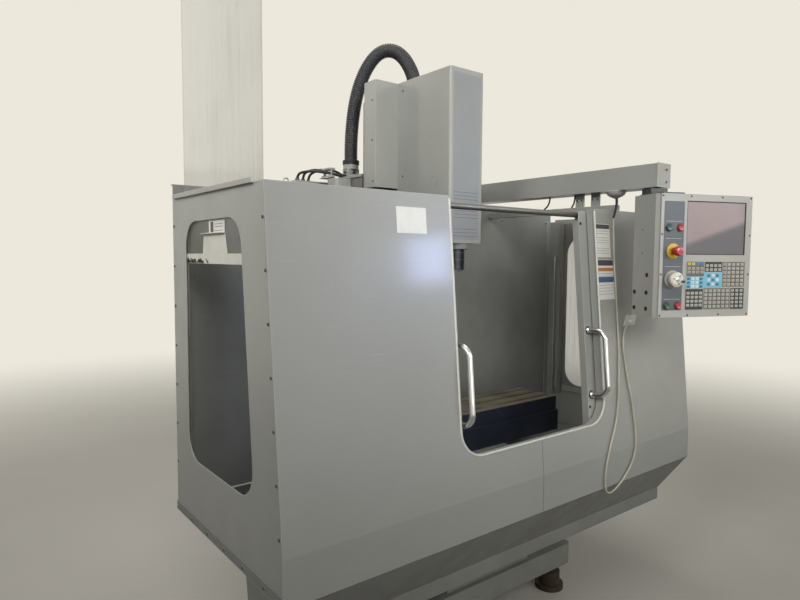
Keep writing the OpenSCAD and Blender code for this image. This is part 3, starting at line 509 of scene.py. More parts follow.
class Stuff(Enum):
    """Every plain material of the machine."""

    # Baked powder coat has a fine orange peel, a soft sheen and pale rubbed scratches.
    PANEL = Finish("Light grey powder coat baked on sheet steel", "#9b9d9a", "#878884", 0.25, 450, 0.46, 0.06,
                   grain_mm=2.2, grain_um=50, scratch=0.12, coat=0.35, coat_roughness=0.14,
                   edge_mm=1.6, edge_rub_and_highlight=0.55)
    # The same coat inside is painted darker than the outside to stand for the shade inside the enclosure, and
    # carries stains of coolant and dust.
    INNER = Finish("Grey powder coat dulled by coolant", "#828482", "#64635c", 0.45, 300, 0.50, 0.08,
                   grain_mm=2.2, grain_um=50, scratch=0.10, edge_mm=1.6, edge_rub_and_highlight=0.35)
    # The opening's bright outline, where the sheet turns inward and catches the light, is painted as a
    # highlight in this pale colour.
    EDGE = Finish("Light grey powder coat rubbed bright on a fold", "#d2d2cc", "#bcbcb4", 0.3, 60, 0.34, 0.2,
                  grain_um=14)
    # Powder coat on the folded case of the pendant is cleaner than on the panels.
    CASE = Finish("Light grey powder coat on a folded case", "#a9aaa6", "#93938d", 0.20, 200, 0.42, 0.06,
                  grain_mm=1.8, grain_um=60, edge_mm=1.2)
    # Filled and painted cast iron shows a broad uneven skin.
    CASTING = Finish("Grey enamel on sand-cast iron", "#82847f", "#56544b", 0.45, 250, 0.55, 0.08,
                     grain_mm=10, grain_um=300, edge_mm=3.0)
    # Bare iron feet carry flakes of rust and dried oil, and their colour is painted darker for the shade
    # under the machine.
    FOOT = Finish("Rusty cast iron foot darkened as painted shade", "#241b14", "#3c281a", 0.6, 50, 0.78, 0.1,
                  grain_mm=4, grain_um=400, edge_mm=2.0)
    # Oxide-blackened steel heads have a dull glint.
    SCREW = Finish("Oxide-blackened steel screw", "#55565a", "#77746c", 0.3, 20, 0.40, 0.1, 0.8,
                   grain_mm=1, grain_um=20)
    # Turned steel is bright, with a brown bloom of old oil.
    STEEL = Finish("Turned bright steel", "#b4b3ae", "#7c786d", 0.35, 60, 0.28, 0.08, 1.0,
                   grain_mm=0.8, grain_um=10)
    # Blacked steel is dark and still mirrors its surroundings softly.
    BLACKED = Finish("Black-oxided ground steel", "#2f3236", "#4a4945", 0.35, 60, 0.36, 0.08, 0.85,
                     grain_mm=0.8, grain_um=8)
    # A ground rail is even and softly bright, without turning marks.
    GROUND = Finish("Centreless-ground steel rail", "#7c7c79", "#6e6d68", 0.25, 120, 0.38, 0.04, 1.0,
                    grain_mm=3, grain_um=2)
    # Zinc plate has a cloudy spangle.
    ZINC = Finish("Zinc-plated pressed steel", "#b2b2ab", "#848177", 0.4, 50, 0.42, 0.1, 0.9,
                  grain_mm=4, grain_um=30)
    # Chrome gives sharp bright lines along each bend.
    CHROME = Finish("Polished chrome-plated tube", "#d9dadb", "#a8a7a2", 0.2, 40, 0.10, 0.04, 1.0,
                    grain_mm=10, grain_um=1)
    # Rubber is nearly black and matt, and holds grey dust.
    RUBBER = Finish("Moulded black rubber", "#17181a", "#33322f", 0.35, 50, 0.62, 0.08,
                    grain_mm=1.5, grain_um=40)
    # Nylon conduit is satin and collects pale dust in its grooves.
    NYLON = Finish("Corrugated black nylon conduit", "#33353a", "#55544f", 0.5, 120, 0.55, 0.08,
                   grain_mm=2, grain_um=20)
    # The hose is pale, and brown where hands and oil have touched it.
    HOSE = Finish("Pale extruded rubber air hose", "#bab6a9", "#857e70", 0.5, 90, 0.5, 0.08,
                  grain_mm=2, grain_um=30)
    # Moulded pulls have a satin skin with grime at the fingers' places.
    CREAM = Finish("Cream injection-moulded plastic", "#dfded6", "#b3ae9e", 0.35, 60, 0.45, 0.05,
                   grain_mm=2, grain_um=30, edge_mm=0.8)
    # Dark enamel on motors and bezels has a soft sheen under its dust.
    DARK = Finish("Dark grey enamel on pressed steel", "#36393c", "#4f4e4b", 0.4, 100, 0.42, 0.08,
                  grain_mm=3, grain_um=50, edge_mm=1.0)
    # Printed polyester film is nearly flat, with a fine matt texture.
    OVERLAY = Finish("Slate grey printed polyester film", "#50575d", "#666a6c", 0.2, 100, 0.42, 0.05,
                     grain_mm=0.9, grain_um=20)
    OVERLAY_PALE = Finish("Light grey printed polyester film", "#a3a39c", "#93928a", 0.2, 100, 0.42, 0.05,
                          grain_mm=0.9, grain_um=20)
    # The fields printed behind the keys set each block apart by its colour.
    KEY_FIELD_DARK = Finish.film("Black printed polyester film", "#24272b", "#3b3d40", 0.38)
    KEY_FIELD_BLUE = Finish.film("Light blue printed polyester film", "#6fb3d0", "#8cc3d6", 0.38)
    KEY_FIELD_GREY = Finish.film("Mid grey printed polyester film", "#5f5e59", "#6e6c65", 0.38)
    # Embossed keys are a satin film whose domed edges catch a thin light.
    KEY_GREY = Finish.film("Embossed grey membrane key", "#adaca2", "#97958b")
    KEY_PALE = Finish.film("Embossed pale membrane key", "#d6dcd6", "#bcc7c2")
    KEY_BROWN = Finish.film("Embossed brown grey membrane key", "#a39d90", "#8c867a")
    KEY_BLUE = Finish.film("Embossed blue membrane key", "#3b76a8", "#6aa3c4", 0.40)
    KEY_TEAL = Finish.film("Embossed teal membrane key", "#2f6f86", "#4c8ba0", 0.40)
    KEY_YELLOW = Finish.film("Embossed yellow membrane key", "#d2bb48", "#b39c3c", 0.40)
    # Push buttons are a glossy thermoplastic.
    RED = Finish("Red moulded polycarbonate", "#b5262e", "#8c1f24", 0.3, 20, 0.30, 0.04, coat=0.3,
                 grain_um=10, edge_mm=0.6)
    GREEN = Finish("Dark green moulded polycarbonate", "#1f4d3d", "#2c5b49", 0.3, 20, 0.30, 0.04, coat=0.3,
                   grain_um=10, edge_mm=0.6)
    # The collar and the hand wheel are a duller plastic, darkened by use.
    YELLOW = Finish("Yellow moulded ABS", "#cbab2e", "#a2872a", 0.3, 30, 0.38, 0.04, grain_um=10, edge_mm=0.6)
    IVORY = Finish("Pale moulded ABS wheel", "#d3d0c6", "#a39d8d", 0.35, 30, 0.36, 0.05,
                   grain_um=10, edge_mm=0.6)
    # Plates and films are smooth and flat, and catch one even reflection.
    PLATE = Finish("Satin polyester film, blank", "#8e9296", "#818588", 0.25, 120, 0.35, 0.05,
                   grain_mm=1, grain_um=10)
    PAPER = Finish("Matt white vinyl film, blank", "#e8e8e4", "#bdb9aa", 0.25, 50, 0.55, 0.05, grain_um=10)
    # Printed ink is flatter and duller than the film under it.
    INK = Finish("Dark printed ink", "#3c3f42", "#55564f", 0.25, 50, 0.45, 0.05, grain_um=10)
    INK_ORANGE = Finish("Orange screen printed ink", "#c07c34", "#ad6a28", 0.2, 60, 0.5, 0.0)
    INK_BLUE = Finish("Blue printed ink", "#3a5a86", "#5a7397", 0.25, 50, 0.45, 0.05, grain_um=10)
    # Iron chips soaked in coolant are nearly black.
    GRIME = Finish("Oily black iron chips", "#1d1b19", "#433c32", 0.4, 12, 0.5, 0.1, 0.3, grain_um=10)
    # Fresh aluminium chips sparkle.
    SWARF = Finish("Curled aluminium chips", "#c9c7c0", "#8e8a80", 0.4, 10, 0.3, 0.1, 1.0, grain_um=1)


@dataclass(frozen=True)
class ClearSheet:
    """Clear polycarbonate that is scuffed along its travel and a little dusty.

    Attributes:
        name: The real material.
        veil: How much of the view behind it the sheet hides where it is cleanest.
        rubbed: How much more its rub marks hide.
        dust_mm: Size of one patch of dust.
        rub_mm: Length of a rub mark.
        rub_stretch: How many times longer than wide a rub mark is.
    """

    name: str = "Scuffed extruded polycarbonate sheet"
    veil: float = 0.27
    rubbed: float = 0.22
    dust_mm: float = 400.0
    rub_mm: float = 333.33
    rub_stretch: float = 30.0

    def build(self) -> Material:
        """Create the material.

        Returns:
            The Blender material.
        """
        material, tree, shader, coords = start_material(self.name)
        # Rub marks are about 10 mm apart and run up the sheet.
        upward = add_node(tree, "Mapping", None,
                          {"Vector": coords, "Scale": (self.rub_stretch, self.rub_stretch, 1.0)})
        rubs = add_node(tree, "TexNoise", None,
                        {"Vector": upward, "Scale": per_metre(self.rub_mm), "Detail": 4.0})
        dust = add_node(tree, "TexNoise", None,
                        {"Vector": coords, "Scale": per_metre(self.dust_mm), "Detail": 4.0})
        marked = add_node(tree, "MapRange", None, {
            "Value": rubs, "From Min": 0.4, "From Max": 0.75, "To Max": self.rubbed})
        dusted = add_node(tree, "MapRange", None, {"Value": dust, "From Min": 0.35, "From Max": 0.7})
        share = add_node(tree, "Math", {"operation": "MULTIPLY"}, {0: marked, 1: dusted})
        alpha = add_node(tree, "Math", {"operation": "ADD"}, {0: share, 1: self.veil})
        tint = add_node(tree, "Mix", COLOURS, {
            SHARE: dusted, FIRST: linear("#8f9089"), SECOND: linear("#7d7b72")})
        # Fine scuffs break the mirror image, so the sheet reflects less than a new one of IOR 1.58.
        feed(tree, shader, {"Base Color": tint.outputs[MIXED], "Alpha": alpha, "Roughness": 0.12,
                            "IOR": 1.40})
        return material


@dataclass(frozen=True)
class DisplayGlass:
    """The display's cover glass, switched off, whose colour paints its reflection.

    Attributes:
        name: The real material.
        smear_mm: Size of one smear.
        slant: The direction across the glass in which the painted reflection changes.
        reflection_change: Where along it the painted reflection starts and ends to change, in metres.
    """

    name: str = "Dark anti-glare display glass"
    smear_mm: float = 166.67
    slant: Place = (-0.35, 0.0, 1.0)
    reflection_change: tuple[float, float] = (1.340, 1.372)

    def build(self) -> Material:
        """Create the material.

        Returns:
            The Blender material.
        """
        material, tree, shader, coords = start_material(self.name)
        smear = add_node(tree, "TexNoise", None,
                         {"Vector": coords, "Scale": per_metre(self.smear_mm), "Detail": 3.0})
        # The glass is off, and its colour is a painted reflection: rose grey towards the bright ceiling,
        # slate grey where it mirrors dark machines.
        ceiling_reflection = add_node(tree, "Mix", COLOURS, {
            SHARE: smear, FIRST: linear("#a89693"), SECOND: linear("#908487")})
        rise = add_node(tree, "VectorMath", {"operation": "DOT_PRODUCT"}, {0: coords, 1: self.slant})
        share = add_node(tree, "MapRange", {"interpolation_type": "SMOOTHSTEP"}, {
            "Value": rise.outputs["Value"], "From Min": self.reflection_change[0], "From Max": self.reflection_change[1]})
        tint = add_node(tree, "Mix", COLOURS, {
            SHARE: share, FIRST: linear("#67656a"), SECOND: ceiling_reflection.outputs[MIXED]})
        rough = add_node(tree, "MapRange", None, {"Value": smear, "To Min": 0.10, "To Max": 0.22})
        feed(tree, shader, {"Base Color": tint.outputs[MIXED], "Roughness": rough, "Coat Weight": 0.5})
        return material


@dataclass(frozen=True)
class TableIron:
    """Ground iron on the table's top and in its slots, navy enamel on the outer sides.

    Attributes:
        name: The real material.
        rim_mm: Bare rim at the top of the painted sides.
        slot_mm: Depth of the slots below the top.
        long_mm: How far in from the front and back faces the paint reaches.
        end_mm: How far in from the two end faces the paint reaches.
        oil_mm: Size of one patch of oil.
        rub_mm: Length of a rub mark.
        rub_stretch: How many times longer than wide a rub mark is.
        grain_mm: Size of one grain, coarser than the real ground iron so that it shows.
    """

    name: str = "Ground cast iron table with navy enamel sides"
    rim_mm: float = 2.5
    slot_mm: float = 36.0
    long_mm: float = 10.5
    end_mm: float = 4.5
    oil_mm: float = 200.0
    rub_mm: float = 142.857
    rub_stretch: float = 22.0
    grain_mm: float = 3.3333

    def build(self) -> Material:
        """Create the material.

        Returns:
            The Blender material.
        """
        material, tree, shader, coords = start_material(self.name)
        painted = self._painted(tree, coords)
        oil = add_node(tree, "TexNoise", None,
                       {"Vector": coords, "Scale": per_metre(self.oil_mm), "Detail": 5.0})
        film = add_node(tree, "MapRange", None, {"Value": oil, "From Min": 0.4, "From Max": 0.7})
        iron = add_node(tree, "Mix", COLOURS, {
            SHARE: film, FIRST: linear("#9a907f"), SECOND: linear("#6b6354")}).outputs[MIXED]
        # Rub marks of clamps and vices run along the slots, about 6 mm apart.
        along = add_node(tree, "Mapping", None, {"Vector": coords, "Scale": (1.0, self.rub_stretch, 1.0)})
        rubs = add_node(tree, "TexNoise", None,
                        {"Vector": along, "Scale": per_metre(self.rub_mm), "Detail": 3.0})
        marks = add_node(tree, "MapRange", None,
                         {"Value": rubs, "From Min": 0.6, "From Max": 0.66, "To Max": 0.5})
        iron = add_node(tree, "Mix", COLOURS, {
            SHARE: marks, FIRST: iron, SECOND: linear("#c0baad")}).outputs[MIXED]
        navy = add_node(tree, "Mix", COLOURS, {
            SHARE: film, FIRST: linear("#1c2230"), SECOND: linear("#2d3038")}).outputs[MIXED]
        colour = add_node(tree, "Mix", COLOURS, {SHARE: painted, FIRST: iron, SECOND: navy})
        # Enamel is no metal, and the oil film keeps the iron from looking like clean metal.
        metal = add_node(tree, "MapRange", None, {"Value": painted, "To Min": 0.7, "To Max": 0.0})
        grains = add_node(tree, "TexNoise", None,
                          {"Vector": coords, "Scale": per_metre(self.grain_mm), "Detail": 2.0})
        rounding = add_node(tree, "Bevel", {"samples": 4}, {"Radius": 1.0 * MM})
        bump = add_node(tree, "Bump", None, {"Height": grains, "Distance": 0.04 * MM, "Normal": rounding})
        feed(tree, shader, {"Base Color": colour.outputs[MIXED], "Metallic": metal, "Roughness": 0.42,
                            "Normal": bump})
        return material

    def _painted(self, tree: Tree, coords: Socket) -> Node:
        """Find the painted faces: the outer sides, and all that lies below the slots.

        Args:
            tree: The material's nodes.
            coords: Places on the table, in metres.

        Returns:
            1 where the surface is painted.
        """
        low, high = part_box("table")
        long, end = self.long_mm * MM, self.end_mm * MM
        part = add_node(tree, "SeparateXYZ", None, {"Vector": coords})
        tests = (("Y", "LESS_THAN", low[1] + long), ("Y", "GREATER_THAN", high[1] - long),
                 ("X", "LESS_THAN", low[0] + end), ("X", "GREATER_THAN", high[0] - end),
                 ("Z", "LESS_THAN", high[2] - self.slot_mm * MM))
        found = None
        for axis, operation, limit in tests:
            hit = add_node(tree, "Math", {"operation": operation}, {0: part.outputs[axis], 1: limit})
            if found is not None:
                hit = add_node(tree, "Math", {"operation": "MAXIMUM"}, {0: found, 1: hit})
            found = hit
        below = add_node(tree, "Math", {"operation": "LESS_THAN"},
                         {0: part.outputs["Z"], 1: high[2] - self.rim_mm * MM})
        return add_node(tree, "Math", {"operation": "MULTIPLY"}, {0: found, 1: below})


class SpecialStuff(Enum):
    """Materials that take more than a plain finish."""

    CLEAR = ClearSheet()
    DISPLAY = DisplayGlass()
    TABLE = TableIron()


AnyStuff = Union[Stuff, SpecialStuff]
MADE: dict[str, Material] = {}


def material_of(stuff: AnyStuff) -> Material:
    """Give the material for one kind of surface, made once.

    Args:
        stuff: The kind of surface.

    Returns:
        The Blender material.
    """
    name = stuff.value.name
    if name not in MADE:
        MADE[name] = stuff.value.build()
    return MADE[name]


# Frames and mesh work


def depth_frame() -> Matrix:
    """Give the frame of places written as [X, depth behind the front face, Z]."""
    return Matrix.Translation(at(0.0, 0.0, 0.0))


@dataclass(frozen=True)
class LeaningFrame:
    """The frame of the leaning front panel: X, distance behind its face, distance up it.

    Attributes:
        fold_z: Height where the panel starts to lean.
        run: Distance that its top leans back.
        rise: Height of the leaning part.
    """

    fold_z: float = 690.0
    run: float = 93.0
    rise: float = 990.0

    def matrix(self) -> Matrix:
        """Give the frame's matrix, in metres."""
        turn = Matrix.Rotation(-math.atan(self.run / self.rise), 4, "X")
        return Matrix.Translation(at(0.0, 0.0, self.fold_z)) @ turn

    def up(self, z: float) -> float:
        """Turn a height above the floor into a distance up the panel."""
        return (z - self.fold_z) * math.hypot(self.run, self.rise) / self.rise


LEAN = LeaningFrame()


# Angles over which an edge is rounded and over which it is shaded sharp, and how square a flat face stands
SHARP_EDGE = math.radians(40)
SHADED_EDGE = math.radians(38)
SQUARE = 0.99999


def rounded(low: Sequence[float], high: Sequence[float], radius: float, steps: int = 5) -> list[Pair]:
    """Outline a rectangle with round corners.

    Args:
        low: Its lower left corner.
        high: Its upper right corner.
        radius: Radius of the corners.
        steps: Segments in each corner.

    Returns:
        Points, counter-clockwise.
    """
    corners = ((high[0] - radius, high[1] - radius, 0), (low[0] + radius, high[1] - radius, 90),
               (low[0] + radius, low[1] + radius, 180), (high[0] - radius, low[1] + radius, 270))
    points = []
    for x, y, start in corners:
        for k in range(steps + 1):
            angle = math.radians(start + 90 * k / steps)
            points.append((x + radius * math.cos(angle), y + radius * math.sin(angle)))
    return points


def circle(x: float, y: float, radius: float, count: int = 24) -> list[Pair]:
    """Outline a circle.

    Args:
        x: First coordinate of its centre.
        y: Second coordinate of its centre.
        radius: Its radius.
        count: Number of points.

    Returns:
        Points, counter-clockwise.
    """
    turns = [2 * math.pi * k / count for k in range(count)]
    return [(x + radius * math.cos(t), y + radius * math.sin(t)) for t in turns]


def on_circle(centre: Sequence[float], radius: float, turns: Iterable[float], level: int = 0) -> list[Vector]:
    """Give places on an upright circle.

    Args:
        centre: Its middle.
        radius: Its radius.
        turns: The places' angles, in radians.
        level: Its level axis, 0 for X and 1 for Y.

    Returns:
        The places, in metres.
    """
    places = []
    for turn in turns:
        place = list(centre)
        place[level] += radius * math.cos(turn)
        place[2] += radius * math.sin(turn)
        places.append(Vector(place) * MM)
    return places


def quarter_turn(steps: int) -> list[float]:
    """Give evenly spaced angles from 0 to 90 degrees, in radians."""
    return [math.pi / 2 * k / steps for k in range(steps + 1)]


def sides_of(x: float, thickness: float, side: float) -> Pair:
    """Give the least and greatest X of a plate that stands out from a face on one side of the machine."""
    inner, outer = sorted((x, x + side * thickness))
    return inner, outer


class Solid:
    """Collects closed forms in one mesh, drawn in a local frame, and makes a piece of them."""

    def __init__(self, name: str, place: Optional[Matrix] = None) -> None:
        """Start an empty mesh.

        Args:
            name: The piece's name.
            place: The local frame, in metres.
        """
        self.name = name
        self.place = place or depth_frame()
        self.mesh = bmesh.new()
        self.stuffs: list[Material] = []

    def _take(self, form: bmesh.types.BMesh, stuff: AnyStuff, bevel: float = 0.0, segments: int = 1,
              square: bool = False) -> None:
        """Round a form's sharp edges, give it its material and add it to the mesh.

        Args:
            form: The form, which is used up.
            stuff: Its material.
            bevel: Width of the rounding.
            segments: Segments of the rounding.
            square: Whether faces square to the axes are shaded flat.
        """
        if bevel > 0.0:
            sharp = [e for e in form.edges if len(e.link_faces) == 2 and e.calc_face_angle() > SHARP_EDGE]
            bmesh.ops.bevel(form, geom=sharp, offset=bevel * MM, segments=segments, profile=0.5,
                            affect="EDGES", clamp_overlap=True)
        material = material_of(stuff)
        if material not in self.stuffs:
            self.stuffs.append(material)
        form.normal_update()
        for face in form.faces:
            face.material_index = self.stuffs.index(material)
            face.smooth = not (square and max(abs(c) for c in face.normal) > SQUARE)
        scratch = bpy.data.meshes.new("scratch")
        form.to_mesh(scratch)
        form.free()
        self.mesh.from_mesh(scratch)
        bpy.data.meshes.remove(scratch)

    def box(self, low: Sequence[float], high: Sequence[float], stuff: AnyStuff, bevel: float = 0.0,
            segments: int = 2) -> None:
        """Add a box between two corners.

        Args:
            low: Its lowest corner.
            high: Its highest corner.
            stuff: Its material.
            bevel: Width of its rounded edges.
            segments: Segments of the rounding.
        """
        form = bmesh.new()
        size = [(b - a) * MM for a, b in zip(low, high)]
        middle = [(a + b) / 2 * MM for a, b in zip(low, high)]
        matrix = Matrix.Translation(middle) @ Matrix.Diagonal((*size, 1.0))
        bmesh.ops.create_cube(form, size=1.0, matrix=matrix)
        self._take(form, stuff, bevel, segments, True)

    def prism(self, outline: Outline, axis: str, low: float, high: float, stuff: AnyStuff, bevel: float = 0.0,
              segments: int = 2, holes: Iterable[Outline] = ()) -> None:
        """Add an outline pushed along an axis.

        Args:
            outline: Points in the other two axes, in the order X, Y, Z.
            axis: The axis that it is pushed along.
            low: Where it starts.
            high: Where it ends.
            stuff: Its material.
            bevel: Width of its rounded edges.
            segments: Segments of the rounding.
            holes: Outlines of holes.
        """
        form = bmesh.new()
        rims: tuple[list[bmesh.types.BMEdge], list[bmesh.types.BMEdge]] = ([], [])
        for ring in (list(outline), *(list(h) for h in holes)):
            layers = []
            for level in (low, high):
                places = {"X": [(level, a, b) for a, b in ring], "Y": [(a, level, b) for a, b in ring],
                          "Z": [(a, b, level) for a, b in ring]}[axis]
                layers.append([form.verts.new(Vector(p) * MM) for p in places])
            for i in range(len(ring)):
                j = (i + 1) % len(ring)
                form.faces.new((layers[0][i], layers[0][j], layers[1][j], layers[1][i]))
                for rim, layer in zip(rims, layers):
                    rim.append(form.edges.get((layer[i], layer[j])))
        for rim in rims:
            bmesh.ops.triangle_fill(form, use_beauty=True, use_dissolve=True, edges=rim)
        bmesh.ops.recalc_face_normals(form, faces=form.faces)
        self._take(form, stuff, bevel, segments, True)

    def lathe(self, foot: Sequence[float], axis: Sequence[float], profile: Iterable[Pair], stuff: AnyStuff,
              sides: int = 32) -> None:
        """Add a turned form.

        Args:
            foot: Where its axis starts.
            axis: The axis's direction.
            profile: Pairs of distance along the axis and radius.
            stuff: Its material.
            sides: Sides of its circles.
        """
        form = bmesh.new()
        turn = Vector(axis).normalized().to_track_quat("Z", "Y").to_matrix().to_4x4()
        matrix = Matrix.Translation(Vector(foot) * MM) @ turn
        rings = []
        for along, radius in profile:
            points = circle(0.0, 0.0, radius, sides) if radius > 0.0 else [(0.0, 0.0)]
            rings.append([form.verts.new(matrix @ (Vector((x, y, along)) * MM)) for x, y in points])
        for first, second in zip(rings, rings[1:]):
            for k in range(sides):
                n = (k + 1) % sides
                corners = [first[k % len(first)], first[n % len(first)], second[n % len(second)],
                           second[k % len(second)]]
                unique = list(dict.fromkeys(corners))
                if len(unique) > 2:
                    form.faces.new(unique)
        for ring in (rings[0], rings[-1]):
            if len(ring) > 1:
                form.faces.new(ring)
        bmesh.ops.recalc_face_normals(form, faces=form.faces)
        self._take(form, stuff)

    def sweep(self, points: Sequence[Vector], radii: Union[float, Sequence[float]], stuff: AnyStuff,
              sides: int = 16) -> None:
        """Add a tube along points of the local frame.

        Args:
            points: Points in metres.
            radii: The tube's radius, the same all along or one for each point.
            stuff: Its material.
            sides: Sides of its circles.
        """
        if isinstance(radii, float):
            radii = [radii] * len(points)
        form = bmesh.new()
        side = Vector((0.0, 0.0, 1.0)).cross(points[1] - points[0])
        if side.length < 1e-6:
            side = Vector((1.0, 0.0, 0.0))
        rings = []
        for i, (point, radius) in enumerate(zip(points, radii)):
            ahead = (points[min(i + 1, len(points) - 1)] - points[max(i - 1, 0)]).normalized()
            side = (side - ahead * side.dot(ahead)).normalized()
            other = ahead.cross(side)
            ring = circle(0, 0, radius, sides)
            rings.append([form.verts.new(point + (side * x + other * y) * MM) for x, y in ring])
        for first, second in zip(rings, rings[1:]):
            for k in range(sides):
                n = (k + 1) % sides
                form.faces.new((first[k], first[n], second[n], second[k]))
        form.faces.new(rings[0])
        form.faces.new(rings[-1])
        bmesh.ops.recalc_face_normals(form, faces=form.faces)
        self._take(form, stuff)

    def piece(self, body: Optional[str], slot: str, *nodes: str) -> Object:
        """Make the collected forms one piece.

        Args:
            body: The body that it rides on, or None for a piece that rides on none.
            slot: The record's material slot; not used.
            *nodes: The CAD nodes that it replaces.

        Returns:
            The new object.
        """
        data = bpy.data.meshes.new(self.name)
        self.mesh.transform(self.place)
        self.mesh.to_mesh(data)
        self.mesh.free()
        for material in self.stuffs:
            data.materials.append(material)
        data.set_sharp_from_angle(angle=SHADED_EDGE)
        piece = bpy.data.objects.new(self.name, data)
        bpy.context.scene.collection.objects.link(piece)
        if body is not None:
            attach(piece, body)
        if nodes:
            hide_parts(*nodes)
        LOG.info("piece %s", self.name)
        return piece


@dataclass(frozen=True)
class Fastener:
    """A socket screw with a domed head on a washer.

    Attributes:
        head: Radius of the head.
        height: Height of the head above the washer.
        washer: Radius of the washer, or 0 for none.
    """

    head: float = 5.6
    height: float = 2.4
    washer: float = 7.4

    def add(self, solid: Solid, place: Sequence[float], axis: Sequence[float]) -> None:
        """Add the screw to a piece.

        Args:
            solid: The piece.
            place: The foot of the head.
            axis: The direction that the head faces.
        """
        lift, rim = 0.0, self.washer
        if rim > 0.0:
            lift = 0.7
            solid.lathe(place, axis, [(0.0, rim), (0.5, rim), (lift, rim - 0.4)], Stuff.ZINC, 18)
        r, h = self.head, self.height
        dome = [(lift, r), (lift + h * 0.35, r), (lift + h * 0.8, r * 0.82), (lift + h, r * 0.58)]
        socket = [(lift + h, r * 0.40), (lift + h * 0.45, r * 0.36), (lift + h * 0.45, 0.0)]
        solid.lathe(place, axis, dome + socket, Stuff.SCREW, 18)


# Hoses and cables


def curve_through(points: Sequence[Place], steps: int) -> list[Vector]:
    """Draw a smooth curve through places.

    Args:
        points: Places as [X, depth, Z].
        steps: Points for each stretch.

    Returns:
        Points of the row frame in metres, the last place among them.
    """
    p = [at(*q) for q in points]
    smooth = []
    for i in range(len(p) - 1):
        p0, p1, p2, p3 = p[max(i - 1, 0)], p[i], p[i + 1], p[min(i + 2, len(p) - 1)]
        for k in range(steps):
            t = k / steps
            smooth.append(0.5 * (2 * p1 + (p2 - p0) * t + (2 * p0 - 5 * p1 + 4 * p2 - p3) * t * t
                                 + (3 * p1 - p0 - 3 * p2 + p3) * t ** 3))
    smooth.append(p[-1])
    return smooth


def evenly(points: Sequence[Vector], spacing: float) -> list[Vector]:
    """Space points evenly along a curve.

    Args:
        points: The curve, in metres.
        spacing: Wanted distance between points.

    Returns:
        Evenly spaced points with the same two ends.
    """
    lengths = [0.0]
    for a, b in zip(points, points[1:]):
        lengths.append(lengths[-1] + (b - a).length)
    count = max(2, round(lengths[-1] / (spacing * MM)))
    even: list[Vector] = []
    i = 0
    for k in range(count + 1):
        target = lengths[-1] * k / count
        while i < len(points) - 2 and lengths[i + 1] < target:
            i += 1
        share = (target - lengths[i]) / max(lengths[i + 1] - lengths[i], 1e-9)
        even.append(points[i].lerp(points[i + 1], share))
    return even


@dataclass(frozen=True)
class Cord:
    """A free cord of its real length.

    Attributes:
        name: The piece's name.
        route: Places along it, as [X, depth, Z].
        diameter: Its diameter.
        stuff: Its material.
        slot: The record's material slot; not used.
        stiffness: limp, medium or stiff; not used.
    """

    name: str
    route: tuple[Place, ...]
    diameter: float
    stuff: Stuff
    slot: str
    stiffness: str = "medium"

    def lay(self, *nodes: str, on_it: Sequence[Object] = ()) -> Object:
        """Args:
            *nodes: The CAD nodes that it replaces.
            on_it: Separate pieces that are on it; not used.

        Returns:
            The cord's object.
        """
        points = curve_through(self.route, 6)
        data = bpy.data.curves.new(self.name, "CURVE")
        data.dimensions = "3D"
        data.bevel_depth = self.diameter / 2 * MM
        data.bevel_resolution = 3
        data.use_fill_caps = True
        spline = data.splines.new("POLY")
        spline.points.add(len(points) - 1)
        for target, point in zip(spline.points, points):
            target.co = (*point, 1.0)
        spline.use_smooth = True
        data.materials.append(material_of(self.stuff))
        cord = bpy.data.objects.new(self.name, data)
        bpy.context.scene.collection.objects.link(cord)
        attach(cord, "machine")
        if nodes:
            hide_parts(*nodes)
        return cord


@dataclass(frozen=True)
class AirHose:
    """The pale air hose that hangs from the arm's swivel in a long loop.

    Attributes:
        route: Places along the hose.
        guard_route: Places along the ribbed guard at its top.
        diameter: The hose's diameter.
        rib_pitch: Distance between the guard's ribs.
    """

    route: tuple[Place, ...] = (
        (508, 77, 1645), (509, 73, 1556), (506, 64, 1457), (507, 56, 1370), (506, 48, 1288), (505, 33, 1123),
        (498, 25, 1041), (484, 14, 919), (466, 6, 840), (442, 0, 783), (406, -6, 717), (382, -9, 652),
        (374, -9, 592), (378, -9, 556), (391, -9, 538), (412, -9, 532), (440, -9, 537), (482, -9, 556),
        (531, -9, 592), (571, -9, 635), (590, -8, 687), (595, -4, 736), (588, 4, 822), (573, 12, 908),
        (554, 21, 993), (540, 28, 1078), (537, 32, 1120), (545, 36, 1161), (564, 39, 1191), (588, 40, 1212))
    guard_route: tuple[Place, ...] = (
        (545, 88, 1730), (540, 84, 1708), (528, 80, 1684), (517, 78, 1663), (508, 77, 1645))
    diameter: float = 8.0
    rib_pitch: float = 4.8

    def build(self) -> None:
        """Draw the guard and the hose."""
        guard = Solid("hose_guard_ribbed", Matrix.Identity(4))
        points = evenly(curve_through(self.guard_route, 8), self.rib_pitch / 4)
        radii = [5.9 - 1.4 * i / len(points) - (0.0 if i % 4 < 2 else 0.8) for i in range(len(points))]
        guard.sweep(points, radii, Stuff.RUBBER)
        piece = guard.piece("machine", "black_rubber", "hose_guard")
        hose = Cord("air_hose_line", self.route, self.diameter, Stuff.HOSE, "pale_hose")
        hose.lay("air_hose", on_it=[piece])


